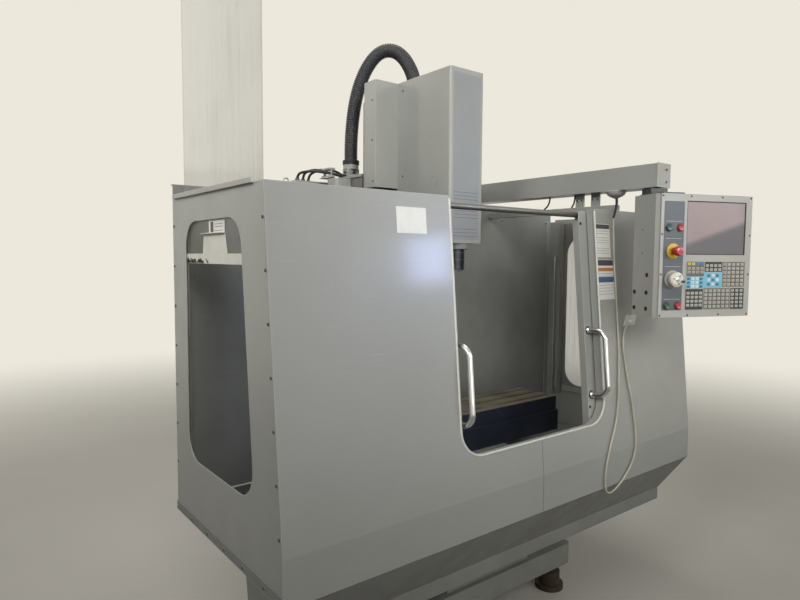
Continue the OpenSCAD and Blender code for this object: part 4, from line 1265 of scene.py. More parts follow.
@dataclass(frozen=True)
class MachineCables:
    """The cables over the column and under the arm.

    Attributes:
        column_routes: Places along each cable from the cabinet to the column's cap.
        arm_routes: Places along each cable between the arm and its support bar.
        column_diameter: Diameter of the column's cables.
        arm_diameter: Diameter of the arm's cables.
    """

    column_routes: tuple[tuple[Place, ...], ...] = (
        ((-330, 1180, 1828), (-330, 1178, 1846), (-326, 1160, 1870), (-300, 1115, 1880), (-260, 1075, 1868),
         (-222, 1054, 1857), (-192, 1050, 1854)),
        ((-290, 1200, 1828), (-290, 1198, 1848), (-284, 1176, 1872), (-250, 1135, 1888), (-190, 1120, 1884),
         (-146, 1112, 1864), (-130, 1098, 1855), (-130, 1085, 1854)),
        ((-370, 1160, 1828), (-370, 1158, 1846), (-364, 1136, 1864), (-330, 1080, 1868), (-270, 1040, 1860),
         (-225, 1027, 1855), (-192, 1025, 1854)))
    arm_routes: tuple[tuple[Place, ...], ...] = (
        ((562, 448, 1760), (562, 449, 1744), (562, 459, 1723), (562, 474, 1710), (562, 484, 1704)),
        ((562, 309, 1760), (562, 309.5, 1744), (562, 314.5, 1723), (562, 322, 1711), (562, 327, 1704)))
    column_diameter: float = 12.0
    arm_diameter: float = 7.5

    def build(self) -> None:
        """Draw the cables."""
        for place, routes, diameter in (("column", self.column_routes, self.column_diameter),
                                        ("arm", self.arm_routes, self.arm_diameter)):
            for i, route in enumerate(routes):
                cable = Cord(f"{place}_cable_{i}", route, diameter, Stuff.RUBBER, "black_rubber", "stiff")
                cable.lay(*(("loose_cables",) if (place, i) == ("column", 0) else ()))


@dataclass(frozen=True)
class HeadConduit:
    """The corrugated conduit from the column to the head, which bends as the head moves.

    Attributes:
        route: Places along it.
        crest: Radius over the ribs.
        root: Radius between the ribs.
        pitch: Distance between the ribs.
        bend_z: Height of the two places between which it bends; not used.
    """

    route: tuple[Place, ...] = (
        (-150, 1045, 1914), (-150, 1045, 1975), (-148, 1043, 2050), (-143, 1037, 2130), (-134, 1027, 2210),
        (-119, 1010, 2286), (-98, 985, 2352), (-71, 954, 2401), (-41, 920, 2422), (-11, 886, 2414),
        (13, 856, 2382), (28, 832, 2338), (34, 816, 2300), (35, 810.5, 2276), (35, 810, 2252.4))
    crest: float = 31.0
    root: float = 28.0
    pitch: float = 8.0
    bend_z: float = 2300.0

    def build(self) -> None:
        """Draw the conduit."""
        points = evenly(curve_through(self.route, 12), self.pitch / 4)
        ring = (self.crest, self.crest, self.root, self.root)
        conduit = Solid("conduit_corrugated", Matrix.Identity(4))
        conduit.sweep(points, [ring[i % 4] for i in range(len(points))], Stuff.NYLON, 28)
        piece = conduit.piece(None, "black_rubber", "head_conduit")
        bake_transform(piece)


# Enclosure


@dataclass(frozen=True)
class EnclosureScrews:
    """The screws along the edges of the side panels, the pan and the back wall.

    Attributes:
        side_x: Outer face of the side panels.
        pan_x: Outer face of the pan.
        fold_low: Lower edge of the panels.
        top: Upper edge of the panels.
        depth: Depth of the enclosure.
        side_in: How far in from the front, back, lower and upper edges the side panels' screws stand.
        pan_in: How far in from the front and back edges and how high above the fold the pan's screws stand.
        wall_x: The first screw and the spacing along the back wall's upper edge.
        wall_z: Height of that row.
        corner_z: The first screw and the spacing up the back wall's corners.
    """

    side_x: float = 1047.0
    pan_x: float = 1050.0
    fold_low: float = 555.0
    top: float = 1680.0
    depth: float = 826.0
    side_in: Edges = (18.3, 10.0, 183.0, 96.0)
    pan_in: Place = (112.0, 14.0, 14.0)
    wall_x: Pair = (290.0, 178.5)
    wall_z: float = 1672.0
    corner_z: Pair = (705.0, 300.0)

    def places(self) -> Iterator[tuple[Place, Place]]:
        """Give each screw's place and the way that it faces.

        Yields:
            The place as [X, depth, Z] and the direction.
        """
        front, back, low, high = self.side_in
        first, last, up = self.pan_in
        for side in (-1.0, 1.0):
            outward = (side, 0.0, 0.0)
            for i in range(7):
                z = self.fold_low + low + i * (self.top - self.fold_low - low - high) / 6
                lean = max(0.0, z - LEAN.fold_z) * LEAN.run / LEAN.rise
                yield (side * self.side_x, front + lean, z), outward
                yield (side * self.side_x, self.depth - back, z), outward
            for i in range(6):
                depth = first + i * (self.depth - first - last) / 5
                yield (side * self.pan_x, depth, self.fold_low + up), outward
            for i in range(5):
                yield (side * (self.wall_x[0] + i * self.wall_x[1]), self.depth, self.wall_z), TO_FRONT
            for i in range(4):
                yield (side * 1028, self.depth + 3, self.corner_z[0] + i * self.corner_z[1]), TO_BACK

    def build(self) -> None:
        """Draw the screws."""
        screws = Solid("enclosure_screws")
        for place, axis in self.places():
            Fastener().add(screws, place, axis)
        screws.piece("machine", "bare_steel", "enclosure_bolts")


@dataclass(frozen=True)
class BlankPlate:
    """A blank plate or film on the front panel, with printed bands but no words.

    Attributes:
        name: The piece's name.
        low: Its lower left corner as X and height above the floor.
        high: Its upper right corner.
        stuff: Its material.
        bands: For each band, its lower and upper height and its material.
        rules: Heights of thin printed rules.
    """

    name: str
    low: Pair
    high: Pair
    stuff: Stuff
    bands: tuple[tuple[float, float, Stuff], ...] = ()
    rules: tuple[float, ...] = ()

    def build(self) -> None:
        """Draw the plate on the leaning panel."""
        plate = Solid(self.name, LEAN.matrix())
        low = (self.low[0], LEAN.up(self.low[1]))
        high = (self.high[0], LEAN.up(self.high[1]))
        plate.prism(rounded(low, high, 2.5), "Y", -0.5, 0.0, self.stuff)
        for z0, z1, stuff in self.bands:
            plate.box((low[0] + 1.5, -0.62, LEAN.up(z0)), (high[0] - 1.5, -0.4, LEAN.up(z1)), stuff)
        for z in self.rules:
            plate.box((low[0] + 6, -0.6, LEAN.up(z)), (high[0] - 6, -0.4, LEAN.up(z) + 1.1), Stuff.INK)
        plate.piece("machine", "cream_plastic")


@dataclass(frozen=True)
class DoorHandle:
    """A pull handle bent from polished tube, standing on two feet on its door.

    Attributes:
        x: Distance of the handle from the machine's middle.
        skin_y: The door's front face, behind the panel's face.
        feet: Heights of the two feet, up the leaning panel.
        reach: Distance from the door's face to the grip's axis.
        bend: Radius of the bends.
        radius: Radius of the tube.
    """

    x: float = 375.0
    skin_y: float = 44.0
    feet: Pair = (241.6, 503.6)
    reach: float = 78.0
    bend: float = 42.0
    radius: float = 10.0

    def path(self, side: float) -> list[Vector]:
        """Give the tube's middle line.

        Args:
            side: -1 for the left door, 1 for the right door.

        Returns:
            Its points from foot to foot, in metres.
        """
        low, high = self.feet
        foot, grip = self.skin_y - 0.5, self.skin_y - self.reach
        r = self.bend
        bend = [(grip + r * (1 - math.sin(t)), r * (1 - math.cos(t))) for t in quarter_turn(12)]
        points = [(foot, low), *((y, low + rise) for y, rise in bend),
                  *((y, high - rise) for y, rise in reversed(bend)), (foot, high)]
        return [Vector((side * self.x, y, z)) * MM for y, z in points]

    def build(self) -> None:
        """Draw both doors' handles."""
        for side, body in ((-1.0, "left_door"), (1.0, "right_door")):
            handle = Solid(f"{body}_pull_handle", LEAN.matrix())
            handle.sweep(self.path(side), self.radius, Stuff.CHROME, 28)
            handle.piece(body, "chrome", f"{body}_handle")


@dataclass(frozen=True)
class OpeningEdge:
    """The rolled edge of the front opening, where the sheet turns inward; its pale colour is a painted
    highlight of the light that it catches.

    Attributes:
        half_width: Half the opening's width.
        sill: Height of the opening's lower edge, up the leaning panel.
        corner: Radius of its lower corners.
        top: Where the edge ends, up the leaning panel.
        radius: Radius of the rolled edge.
        seam: Half the width of the dark strip that paints the shade in the seam below the sill.
        fold_z: Lower and upper height of the upright strip under the leaning panel.
    """

    half_width: float = 400.0
    sill: float = 129.6
    corner: float = 100.0
    top: float = 985.0
    radius: float = 4.2
    seam: float = 0.8
    fold_z: Pair = (556.0, 690.0)

    def build(self) -> None:
        """Draw the edge, whose pale colour is a painted highlight, from one upper end around the sill to the
        other, and a dark strip in the seam below it that paints the seam's shade.
        """
        inset = self.radius - 1.4
        reach, low, bend = self.half_width - inset, self.sill + inset, self.corner - inset
        turn = [(reach - bend + bend * math.cos(t), low + bend * (1 - math.sin(t))) for t in quarter_turn(16)]
        points = [(-reach, self.top), *((-x, z) for x, z in turn), *reversed(turn), (reach, self.top)]
        line = [Vector((x, 1.2, z)) * MM for x, z in points]
        half = len(line) // 2
        sill = line[half - 1 : half + 1]
        # The pale edge is a painted highlight of the light that the turned-in sheet catches.
        for name, part in (("left", line[:half]), ("right", line[half:]), ("sill", sill)):
            edge = Solid(f"opening_edge_painted_highlight_{name}", LEAN.matrix())
            edge.sweep(part, self.radius, Stuff.EDGE, 12)
            edge.piece("machine", "painted_sheet")
        # A black strip in the seam paints the shade in its gap.
        for name, place, low, high in (("upper", LEAN.matrix(), 1.0, self.sill - 5.0),
                                       ("lower", depth_frame(), *self.fold_z)):
            seam = Solid(f"painted_seam_shadow_{name}", place)
            seam.box((-self.seam, -0.25, low), (self.seam, 1.5, high), Stuff.RUBBER)
            seam.piece("machine", "black_rubber")


@dataclass(frozen=True)
class DoorTrim:
    """Plugs and handle collars of the two sliding doors.

    Attributes:
        handle: The handle, which gives the door's face and the places of the collars.
        plug_x: The plugs' distance from the machine's middle.
        plug_z: The two plugs, up the leaning panel.
    """

    handle: DoorHandle = DoorHandle()
    plug_x: float = 361.0
    plug_z: Pair = (194.0, 938.0)

    def build(self) -> None:
        """Draw the trim of both doors."""
        skin_y = self.handle.skin_y
        for side, body in ((-1.0, "left_door"), (1.0, "right_door")):
            trim = Solid(f"{body}_trim", LEAN.matrix())
            for z in self.plug_z:
                trim.lathe((side * self.plug_x, skin_y, z), TO_FRONT,
                           [(0, 6.5), (1.2, 6.2), (2.0, 4.8), (2.2, 0)], Stuff.RUBBER, 20)
            for z in self.handle.feet:
                trim.lathe((side * self.handle.x, skin_y, z), TO_FRONT,
                           [(0, 17.5), (1.0, 17.5), (1.4, 16.6), (1.4, 10)], Stuff.RUBBER)
                trim.lathe((side * self.handle.x, skin_y - 4, z), TO_FRONT,
                           [(0, 14.6), (1.2, 13.4), (3.4, 11.2), (4.4, 10.2)], Stuff.CHROME)
            trim.piece(body, "black_rubber")


# Head and column


@dataclass(frozen=True)
class HeadTrim:
    """Film, seams and screws of the head's covers, and the drive keys of the spindle.

    Attributes:
        half_width: Half the width of the front cover.
        rear_half_width: Half the width of the rear cover.
        front_d: Depth of the cover's front face.
        film: The film's left, lower, right and upper edges.
        rules: Heights of the film's printed rules.
        knockout: Depth, height and radius of the round seam in the left side.
        cover_screws: Depth and height of the front cover's screws.
        rear_screws: Depth and height of the rear cover's screws.
        spindle_d: Depth of the spindle's axis.
        nose_z: Height of the spindle's lower face.
        flange_z: Height of the flange's lower face.
        flange_r: Radius of the flange's ring of screws.
        grooves: Heights of the spindle's turned grooves.
    """

    half_width: float = 92.5
    rear_half_width: float = 210.0
    front_d: float = 424.0
    film: Edges = (-74.0, 1552.0, 74.0, 2212.0)
    rules: tuple[float, ...] = (1566, 1580, 1594, 1640, 1654, 1668, 1714, 1728, 1742)
    knockout: Place = (518.0, 1791.0, 20.0)
    cover_screws: tuple[Pair, ...] = ((726, 2194), (726, 1830), (726, 1590))
    rear_screws: tuple[Pair, ...] = ((790, 2150), (790, 1981), (784, 1806))
    spindle_d: float = 488.0
    nose_z: float = 1429.0
    flange_z: float = 1515.0
    flange_r: float = 50.0
    grooves: tuple[float, ...] = (1440, 1470, 1500)

    def build(self) -> None:
        """Draw the trim of the head and the spindle."""
        self._covers()
        self._spindle()

    def _covers(self) -> None:
        """Draw the film, the round seam and the screws."""
        trim = Solid("head_trim")
        face = self.front_d - 0.5
        left, low, right, high = self.film
        trim.prism(rounded((left, low), (right, high), 6), "Y", face, self.front_d, Stuff.PLATE)
        for z in self.rules:
            trim.box((left + 8, face - 0.1, z), (right - 8, self.front_d, z + 1.4), Stuff.INK)
        depth, z, radius = self.knockout
        turns = [2 * math.pi * k / 36 for k in range(37)]
        trim.sweep(on_circle((-self.half_width, depth, z), radius, turns, level=1), 0.9, Stuff.INNER, 6)
        small = Fastener(4.2, 2.0, 0.0)
        for side in (-1.0, 1.0):
            for half, screws in ((self.half_width, self.cover_screws),
                                 (self.rear_half_width, self.rear_screws)):
                for depth, z in screws:
                    small.add(trim, (side * half, depth, z), (side, 0, 0))
        for k in range(6):
            turn = math.radians(30 + 60 * k)
            x, depth = self.flange_r * math.cos(turn), self.spindle_d + self.flange_r * math.sin(turn)
            small.add(trim, (x, depth, self.flange_z), DOWN)
        trim.piece("head", "painted_sheet")

    def _spindle(self) -> None:
        """Draw the two drive keys and the grooves."""
        keys = Solid("spindle_drive_keys")
        depth, z = self.spindle_d, self.nose_z
        for side in (-1.0, 1.0):
            inner, outer = sides_of(side * 24, 13, side)
            keys.box((inner, depth - 7.8, z - 6), (outer, depth + 7.8, z + 4), Stuff.STEEL, 0.8)
        for z in self.grooves:
            keys.lathe((0, depth, z), UP, [(0, 40.0), (0.4, 40.5), (2.0, 40.5), (2.4, 40.0)], Stuff.SCREW, 48)
        keys.piece("spindle", "bare_steel")


@dataclass(frozen=True)
class ColumnTop:
    """Fittings on the column's cap: conduit collar, clamp bolts, cable clip, glands and motor details.

    Attributes:
        conduit: X and depth of the conduit's foot.
        collar_z: Height of the collar's foot.
        clamp_z: Height of the clamp's bolts.
        glands: X and depth of the cables' glands.
        cabinet_z: Top of the cabinet.
        plates: Two corners, material and rounding of each plate of the cable clip.
        motor_d: Depth of the motor's axis.
        motor_screw: Distance of the motor's screws from its axis, and their height.
        fins_z: Heights of the motor's first fin and of the end of the fins, and their spacing.
    """

    conduit: Pair = (-150.0, 1045.0)
    collar_z: float = 1908.0
    clamp_z: float = 1874.0
    glands: tuple[Pair, ...] = ((-330, 1180), (-290, 1200), (-370, 1160))
    cabinet_z: float = 1828.0
    plates: tuple[tuple[Place, Place, Stuff, float], ...] = (
        ((-290, 1038, 1838), (-200, 1096, 1842), Stuff.ZINC, 0.8),
        ((-278, 1030, 1842), (-246, 1100, 1852), Stuff.PANEL, 1.5),
        ((-278, 1030, 1876), (-246, 1100, 1886), Stuff.PANEL, 1.5),
        ((-268, 1031, 1850), (-256, 1037, 1878), Stuff.ZINC, 0.6),
        ((-268, 1093, 1850), (-256, 1099, 1878), Stuff.ZINC, 0.6),
    )
    motor_d: float = 930.0
    motor_screw: Pair = (52.0, 1978.0)
    fins_z: tuple[int, int, int] = (1868, 1968, 14)

    def build(self) -> None:
        """Draw the fittings."""
        top = Solid("column_top_fittings")
        x, depth = self.conduit
        collar = [(0, 36.4), (1, 39), (9, 39), (10, 37.5), (12, 37.5), (13, 39), (20, 39), (22, 36), (22, 31)]
        top.lathe((x, depth, self.collar_z), UP, collar, Stuff.RUBBER, 24)
        bolt = Fastener(8.0, 6.0, 11.0)
        bolt.add(top, (x - 30, depth, self.clamp_z), TO_LEFT)
        bolt.add(top, (x, depth - 24, self.clamp_z), TO_FRONT)
        gland = [(0, 13), (2, 13), (2.2, 11.5), (8, 11.5), (8.4, 10), (12, 9.4), (16, 7.4), (16, 6)]
        for x, depth in self.glands:
            top.lathe((x, depth, self.cabinet_z), UP, gland, Stuff.DARK, 20)
        for low, high, stuff, bevel in self.plates:
            top.box(low, high, stuff, bevel)
        reach, z = self.motor_screw
        for x in (-reach, reach):
            for depth in (self.motor_d - reach, self.motor_d + reach):
                Fastener(5.0, 5.0, 0.0).add(top, (x, depth, z), UP)
        for z in range(*self.fins_z):
            for side in (-1, 1):
                inner, outer = sides_of(side * 65, 1.6, side)
                top.box((inner, self.motor_d - 54, z), (outer, self.motor_d + 54, z + 6), Stuff.DARK, 0.6, 1)
        top.box((-30, 858, 1880), (30, 866, 1926), Stuff.DARK, 2.0)
        top.piece("machine", "painted_sheet")


# Pendant


@dataclass(frozen=True)
class KeyGroup:
    """A block of keys on the pendant's keypad.

    Attributes:
        first: The middle of the upper left key, right of and below the face's corner.
        columns: Number of columns.
        rows: Number of rows.
        pitch: Distance between keys, across and down.
        keys: The keys' materials, row by row, used again from the start where they run out.
        field: The printed field behind the keys, as left, top, right and bottom.
        field_stuff: The field's material.
    """

    first: Pair
    columns: int
    rows: int
    pitch: Pair
    keys: tuple[Stuff, ...]
    field: Optional[Edges] = None
    field_stuff: Stuff = Stuff.KEY_FIELD_DARK


@dataclass(frozen=True)
class Pendant:
    """The control pendant: overlays, keys, display, buttons, hand wheel and screws.

    Attributes:
        pivot: X and depth of the swivel's axis.
        turn: Degrees that the pendant is turned at rest.
        corner: The face's upper left corner, in the pendant's turned frame.
        size: Width and height of the face.
        display: The display's left, top, right and bottom.
        strip: The left overlay's left, top, right and bottom.
        rules: The left overlay's printed rules, down the face.
        keypad: The keypad overlay's left, top, right and bottom.
        estop: The emergency stop's middle.
        wheel: The hand wheel's middle.
        button_u: The two columns of push buttons.
        button_v: The two rows of push buttons.
        button_r: Radius of a push button.
        plugs: Depth behind the face and distance down it of the left side's plugs.
        side_screws: The same of the left side's screws.
        key: Width and height of a key.
        groups: The keypad's blocks.
    """

    pivot: Pair = (562.0, -58.0)
    turn: float = -22.0
    corner: Place = (-112.0, -188.0, 1721.0)
    size: Pair = (425.0, 461.0)
    display: Edges = (125.0, 25.0, 397.0, 226.0)
    strip: Edges = (24.0, 28.0, 112.0, 434.0)
    rules: tuple[float, ...] = (102, 166, 270, 392)
    keypad: Edges = (127.0, 250.0, 402.0, 436.0)
    estop: Pair = (66.0, 213.0)
    wheel: Pair = (66.0, 318.0)
    button_u: Pair = (45.0, 95.0)
    button_v: Pair = (126.0, 416.0)
    button_r: float = 12.5
    plugs: tuple[Pair, ...] = ((57, 303), (57, 370), (126, 370), (57, 431), (126, 431))
    side_screws: tuple[Pair, ...] = ((88, 132), (88, 221))
    key: Pair = (13.6, 10.2)
    groups: tuple[KeyGroup, ...] = (
        KeyGroup((141, 260), 4, 1, (19.5, 15),
                 (Stuff.KEY_YELLOW, Stuff.KEY_YELLOW, Stuff.KEY_BLUE, Stuff.KEY_BLUE),
                 (130, 252, 209, 307), Stuff.KEY_FIELD_GREY),
        KeyGroup((141, 277), 4, 2, (19.5, 14), (Stuff.KEY_BROWN,)),
        KeyGroup((140, 316), 4, 3, (19.2, 14.6),
                 (Stuff.KEY_TEAL, Stuff.KEY_PALE, Stuff.KEY_PALE, Stuff.KEY_TEAL),
                 (130, 308, 208, 352), Stuff.KEY_FIELD_BLUE),
        KeyGroup((140, 370.5), 4, 4, (19, 15.2), (Stuff.KEY_GREY,), (129, 355, 208, 433)),
        KeyGroup((223, 266.5), 4, 2, (19.4, 15), (Stuff.KEY_GREY,), (212, 252, 293, 290)),
        KeyGroup((232, 304), 3, 3, (20, 16.5), (Stuff.KEY_TEAL, Stuff.KEY_PALE) * 4 + (Stuff.KEY_TEAL,),
                 (210, 292.5, 294, 349), Stuff.KEY_FIELD_BLUE),
        KeyGroup((221.5, 362), 6, 5, (20, 15), (Stuff.KEY_GREY,), (211, 353, 333, 432), Stuff.KEY_FIELD_GREY),
        KeyGroup((304, 262), 1, 6, (18, 15.3), (Stuff.KEY_BROWN,), (295.5, 252.5, 312.5, 347),
                 Stuff.KEY_FIELD_GREY),
        KeyGroup((325, 262), 4, 6, (20.4, 15.3), (Stuff.KEY_GREY,), (315, 252.5, 399, 347),
                 Stuff.KEY_FIELD_GREY),
        KeyGroup((345.5, 362), 3, 5, (20.6, 15), (Stuff.KEY_GREY,), (336, 353, 399.5, 433)),
    )

    def frame(self) -> Matrix:
        """Give the face's frame: X right, Y into the case, Z up from the face's upper edge."""
        turn = Matrix.Rotation(math.radians(self.turn), 4, "Z")
        return Matrix.Translation(at(*self.pivot, 0.0)) @ turn @ Matrix.Translation(Vector(self.corner) * MM)

    def build(self) -> None:
        """Draw every piece of the pendant."""
        self._overlays()
        self._display()
        self._bezels()
        self._buttons()
        self._estop()
        self._wheel()

    def _field(self, edges: Edges, radius: float, steps: int = 5, inset: float = 0.0) -> list[Pair]:
        """Outline a field of the face.

        Args:
            edges: Its left, top, right and bottom.
            radius: Radius of its corners.
            steps: Segments in each corner.
            inset: How much smaller it is drawn all round.

        Returns:
            Points in the face's frame.
        """
        left, top, right, bottom = edges
        return rounded((left + inset, -bottom + inset), (right - inset, -top - inset), radius, steps)

    def _overlays(self) -> None:
        """Draw the two printed films and the keys."""
        pad = Solid("pendant_overlays", self.frame())
        holes = [circle(u, -v, self.button_r + 0.4) for u in self.button_u for v in self.button_v]
        holes += [circle(self.estop[0], -self.estop[1], 12.5), circle(self.wheel[0], -self.wheel[1], 8.5)]
        pad.prism(self._field(self.strip, 4.0), "Y", -1.0, 0.0, Stuff.OVERLAY, holes=holes)
        for v in self.rules:
            pad.box((self.strip[0] + 9, -1.08, -v - 0.7), (self.strip[2] - 9, -0.9, -v), Stuff.PAPER)
        pad.prism(self._field(self.keypad, 4.0), "Y", -1.0, 0.0, Stuff.OVERLAY_PALE)
        dice = random.Random(11)
        for group in self.groups:
            if group.field is not None:
                pad.prism(self._field(group.field, 1.5, 3), "Y", -1.12, -0.9, group.field_stuff)
            for i in range(group.rows * group.columns):
                u = group.first[0] + (i % group.columns) * group.pitch[0]
                v = group.first[1] + (i // group.columns) * group.pitch[1]
                self._one_key(pad, u, v, group.keys[i % len(group.keys)], dice)
        pad.piece("pendant", "keypad", "pendant_keypad")

    def _one_key(self, pad: Solid, u: float, v: float, stuff: Stuff, dice: random.Random) -> None:
        """Draw one embossed key with a printed dash for its legend.

        Args:
            pad: The keypad's piece.
            u: Its middle, right of the face's corner.
            v: Its middle, below the face's corner.
            stuff: Its material.
            dice: Seeded numbers for the lengths of the dashes.
        """
        half_u, half_v = self.key[0] / 2, self.key[1] / 2
        pad.box((u - half_u, -2.2, -v - half_v), (u + half_u, -1.0, -v + half_v), stuff, 0.9, 2)
        half = dice.uniform(3.0, 7.5) / 2
        for row in range(dice.choice((1, 1, 2))):
            z = -v + 2.2 - row * 2.8
            pad.box((u - half, -2.26, z - 0.9), (u + half, -2.1, z), Stuff.INK)

    def _display(self) -> None:
        """Draw the display's glass and the gasket around it."""
        left, top, right, bottom = self.display
        display = Solid("pendant_display", self.frame())
        display.box((left, 3.0, -bottom), (right, 6.0, -top), SpecialStuff.DISPLAY)
        display.prism(self._field(self.display, 1.5), "Y", 1.2, 3.1, Stuff.RUBBER,
                      holes=[self._field(self.display, 2.0, inset=3.0)])
        display.piece("pendant", "screen", "pendant_screen")

    def _bezels(self) -> None:
        """Draw the rings round the controls, the face's screws and the plugs on the left side."""
        trim = Solid("pendant_fittings", self.frame())
        width, height = self.size
        rows = [(u, v) for u in (17, width / 3, width * 2 / 3, width - 8) for v in (8, height - 8)]
        for u, v in rows + [(u, v) for u in (17, width - 8) for v in (150, 300)]:
            Fastener(4.0, 1.6, 0.0).add(trim, (u, 0, -v), TO_FRONT)
        collar = [(0, 29), (2.6, 29), (4.4, 27), (5.0, 24), (5.0, 13.2), (0.2, 12.6)]
        trim.lathe((self.estop[0], -1.0, -self.estop[1]), TO_FRONT, collar, Stuff.YELLOW, 48)
        dial = [(0, 34), (2.8, 34), (4.6, 32.6), (5.0, 30.5), (5.0, 9), (0.2, 8.6)]
        u, v = self.wheel
        trim.lathe((u, -1.0, -v), TO_FRONT, dial, Stuff.CASE, 64)
        for k in range(50):
            turn = math.pi / 2 - 2 * math.pi * k / 50
            mark = [on_circle((u, -5.4, -v), r, [turn])[0] for r in (29.2 if k % 10 == 0 else 31.0, 33.4)]
            trim.sweep(mark, 0.45, Stuff.INK, 4)
        bezel = [(0, 16.4), (1.6, 16.4), (2.6, 15.2), (2.6, 12.9), (0.1, 12.9)]
        for u in self.button_u:
            for v in self.button_v:
                trim.lathe((u, -1.0, -v), TO_FRONT, bezel, Stuff.DARK, 32)
        plug = [(0, 8.5), (0.8, 8.4), (1.4, 7.2), (1.6, 4.5), (1.1, 3.8), (1.1, 0)]
        for depth, v in self.plugs:
            trim.lathe((0, depth, -v), TO_LEFT, plug, Stuff.RUBBER, 24)
        for depth, v in self.side_screws:
            Fastener(3.0, 1.2, 0.0).add(trim, (0, depth, -v), TO_LEFT)
        trim.piece("pendant", "black_rubber", "pendant_trim")

    def _buttons(self) -> None:
        """Draw the caps of the four push buttons."""
        shape = [(0, 12.3), (16.6, 12.3), (18.2, 11.6), (19.0, 10.2), (18.3, 8.5), (17.9, 5), (17.8, 0)]
        for body, i, j, stuff, slot in (("power_on", 0, 0, Stuff.GREEN, "green_plastic"),
                                        ("power_off", 1, 0, Stuff.RED, "red_plastic"),
                                        ("cycle_start", 0, 1, Stuff.GREEN, "green_plastic"),
                                        ("feed_hold", 1, 1, Stuff.RED, "red_plastic")):
            cap = Solid(f"{body}_cap", self.frame())
            cap.lathe((self.button_u[i], 10, -self.button_v[j]), TO_FRONT, shape, stuff, 32)
            cap.piece(body, slot, f"{body}_button")

    def _estop(self) -> None:
        """Draw the emergency stop's mushroom head."""
        stop = Solid("estop_mushroom", self.frame())
        head = [(0, 11.8), (33, 11.8), (34, 14.5), (35.5, 17.2), (38, 18.5), (44, 18.4), (48, 17.2),
                (50.4, 14.6), (51.5, 11), (51.9, 6), (52, 0)]
        u, v = self.estop
        stop.lathe((u, 10, -v), TO_FRONT, head, Stuff.RED, 40)
        for k in range(3):
            arc = on_circle((u, -41.6, -v), 11.4, [2 * math.pi * k / 3 + 0.16 * j for j in range(9)])
            stop.sweep(arc, [0.9 - 0.06 * j for j in range(9)], Stuff.PAPER, 6)
        stop.piece("estop", "red_plastic", "estop_button")

    def _wheel(self) -> None:
        """Draw the hand wheel with its notched rim, hub and spinner."""
        u, v = self.wheel
        wheel = Solid("jog_wheel_disc", self.frame())
        wheel.lathe((u, 10, -v), TO_FRONT, [(0, 7.8), (23, 7.8), (23.2, 20), (24, 20)], Stuff.IVORY, 32)
        notched = [circle(u, -v, 28.0 - (0.9 if k % 4 == 0 else 0.0), 96)[k] for k in range(96)]
        wheel.prism(notched, "Y", -28.5, -13.5, Stuff.IVORY, 0.8, 2)
        wheel.lathe((u, -28.5, -v), TO_FRONT, [(0, 25), (1.8, 24), (3.2, 21), (3.2, 12), (2.2, 11), (2.2, 0)],
                    Stuff.IVORY, 48)
        wheel.lathe((u, -30.5, -v), TO_FRONT, [(0, 8.5), (1.0, 8.5), (1.5, 7.6), (1.5, 0)], Stuff.STEEL, 32)
        for k in range(3):
            turn = math.radians(50 + 120 * k)
            spoke = [on_circle((u, -32.0, -v), r, [turn])[0] for r in (12.5, 20.5)]
            wheel.sweep(spoke, 1.5, Stuff.INK, 8)
        spinner = [(0, 3.0), (2.0, 3.0), (3.0, 4.2), (9.0, 4.5), (13.5, 4.3), (15.4, 3.2), (16.0, 0)]
        wheel.lathe((u + 19, -31, -v - 7), TO_FRONT, spinner, Stuff.DARK, 24)
        wheel.piece("jog_wheel", "cream_plastic", "jog_wheel")


# Loose details


@dataclass(frozen=True)
class ArmFittings:
    """The domed swivel under the arm and the arm's screws.

    Attributes:
        swivel: X and depth of the swivel that the hose leaves.
        under_z: The arm's underside.
        end_d: Depth of the screws in the arm's end plate.
        end_up: Their heights above the arm's underside.
        bar_d: Depths of the screws in the support bar's hangers.
        foot: X and depth of the screws in the arm's foot.
    """

    swivel: Pair = (545.0, 92.0)
    under_z: float = 1760.0
    end_d: float = -111.0
    end_up: Pair = (22.0, 70.0)
    bar_d: Edges = (188.0, 213.0, 268.0, 293.0)
    foot: tuple[Pair, ...] = ((230, 905), (230, 975), (470, 905), (470, 975))

    def build(self) -> None:
        """Draw the fittings."""
        dome = Solid("swivel_dome")
        x, depth = self.swivel
        shape = [(0, 41), (5, 41), (6, 39.5), (11, 38), (17, 33), (22, 26), (26, 17), (28.5, 11), (30, 10),
                 (30, 6.5)]
        dome.lathe((x, depth, self.under_z), DOWN, shape, Stuff.CASE, 40)
        for k in range(4):
            angle = math.radians(45 + 90 * k)
            place = (x + 33 * math.cos(angle), depth + 33 * math.sin(angle), self.under_z - 12)
            Fastener(3.6, 3.0, 0.0).add(dome, place, DOWN)
        dome.piece("machine", "dark_paint", "hose_swivel")
        fittings = Solid("arm_fittings")
        for z in self.end_up:
            Fastener(5.0, 2.4, 0.0).add(fittings, (574, self.end_d, self.under_z + z), TO_FRONT)
        for depth in self.bar_d:
            for side in (-1, 1):
                Fastener(4.0, 2.4, 5.5).add(fittings, (562 + side * 4, depth, 1735), (side, 0, 0))
        for x, depth in self.foot:
            Fastener(6.0, 3.0, 8.0).add(fittings, (x, depth, 1830), UP)
        fittings.piece("machine", "painted_sheet")


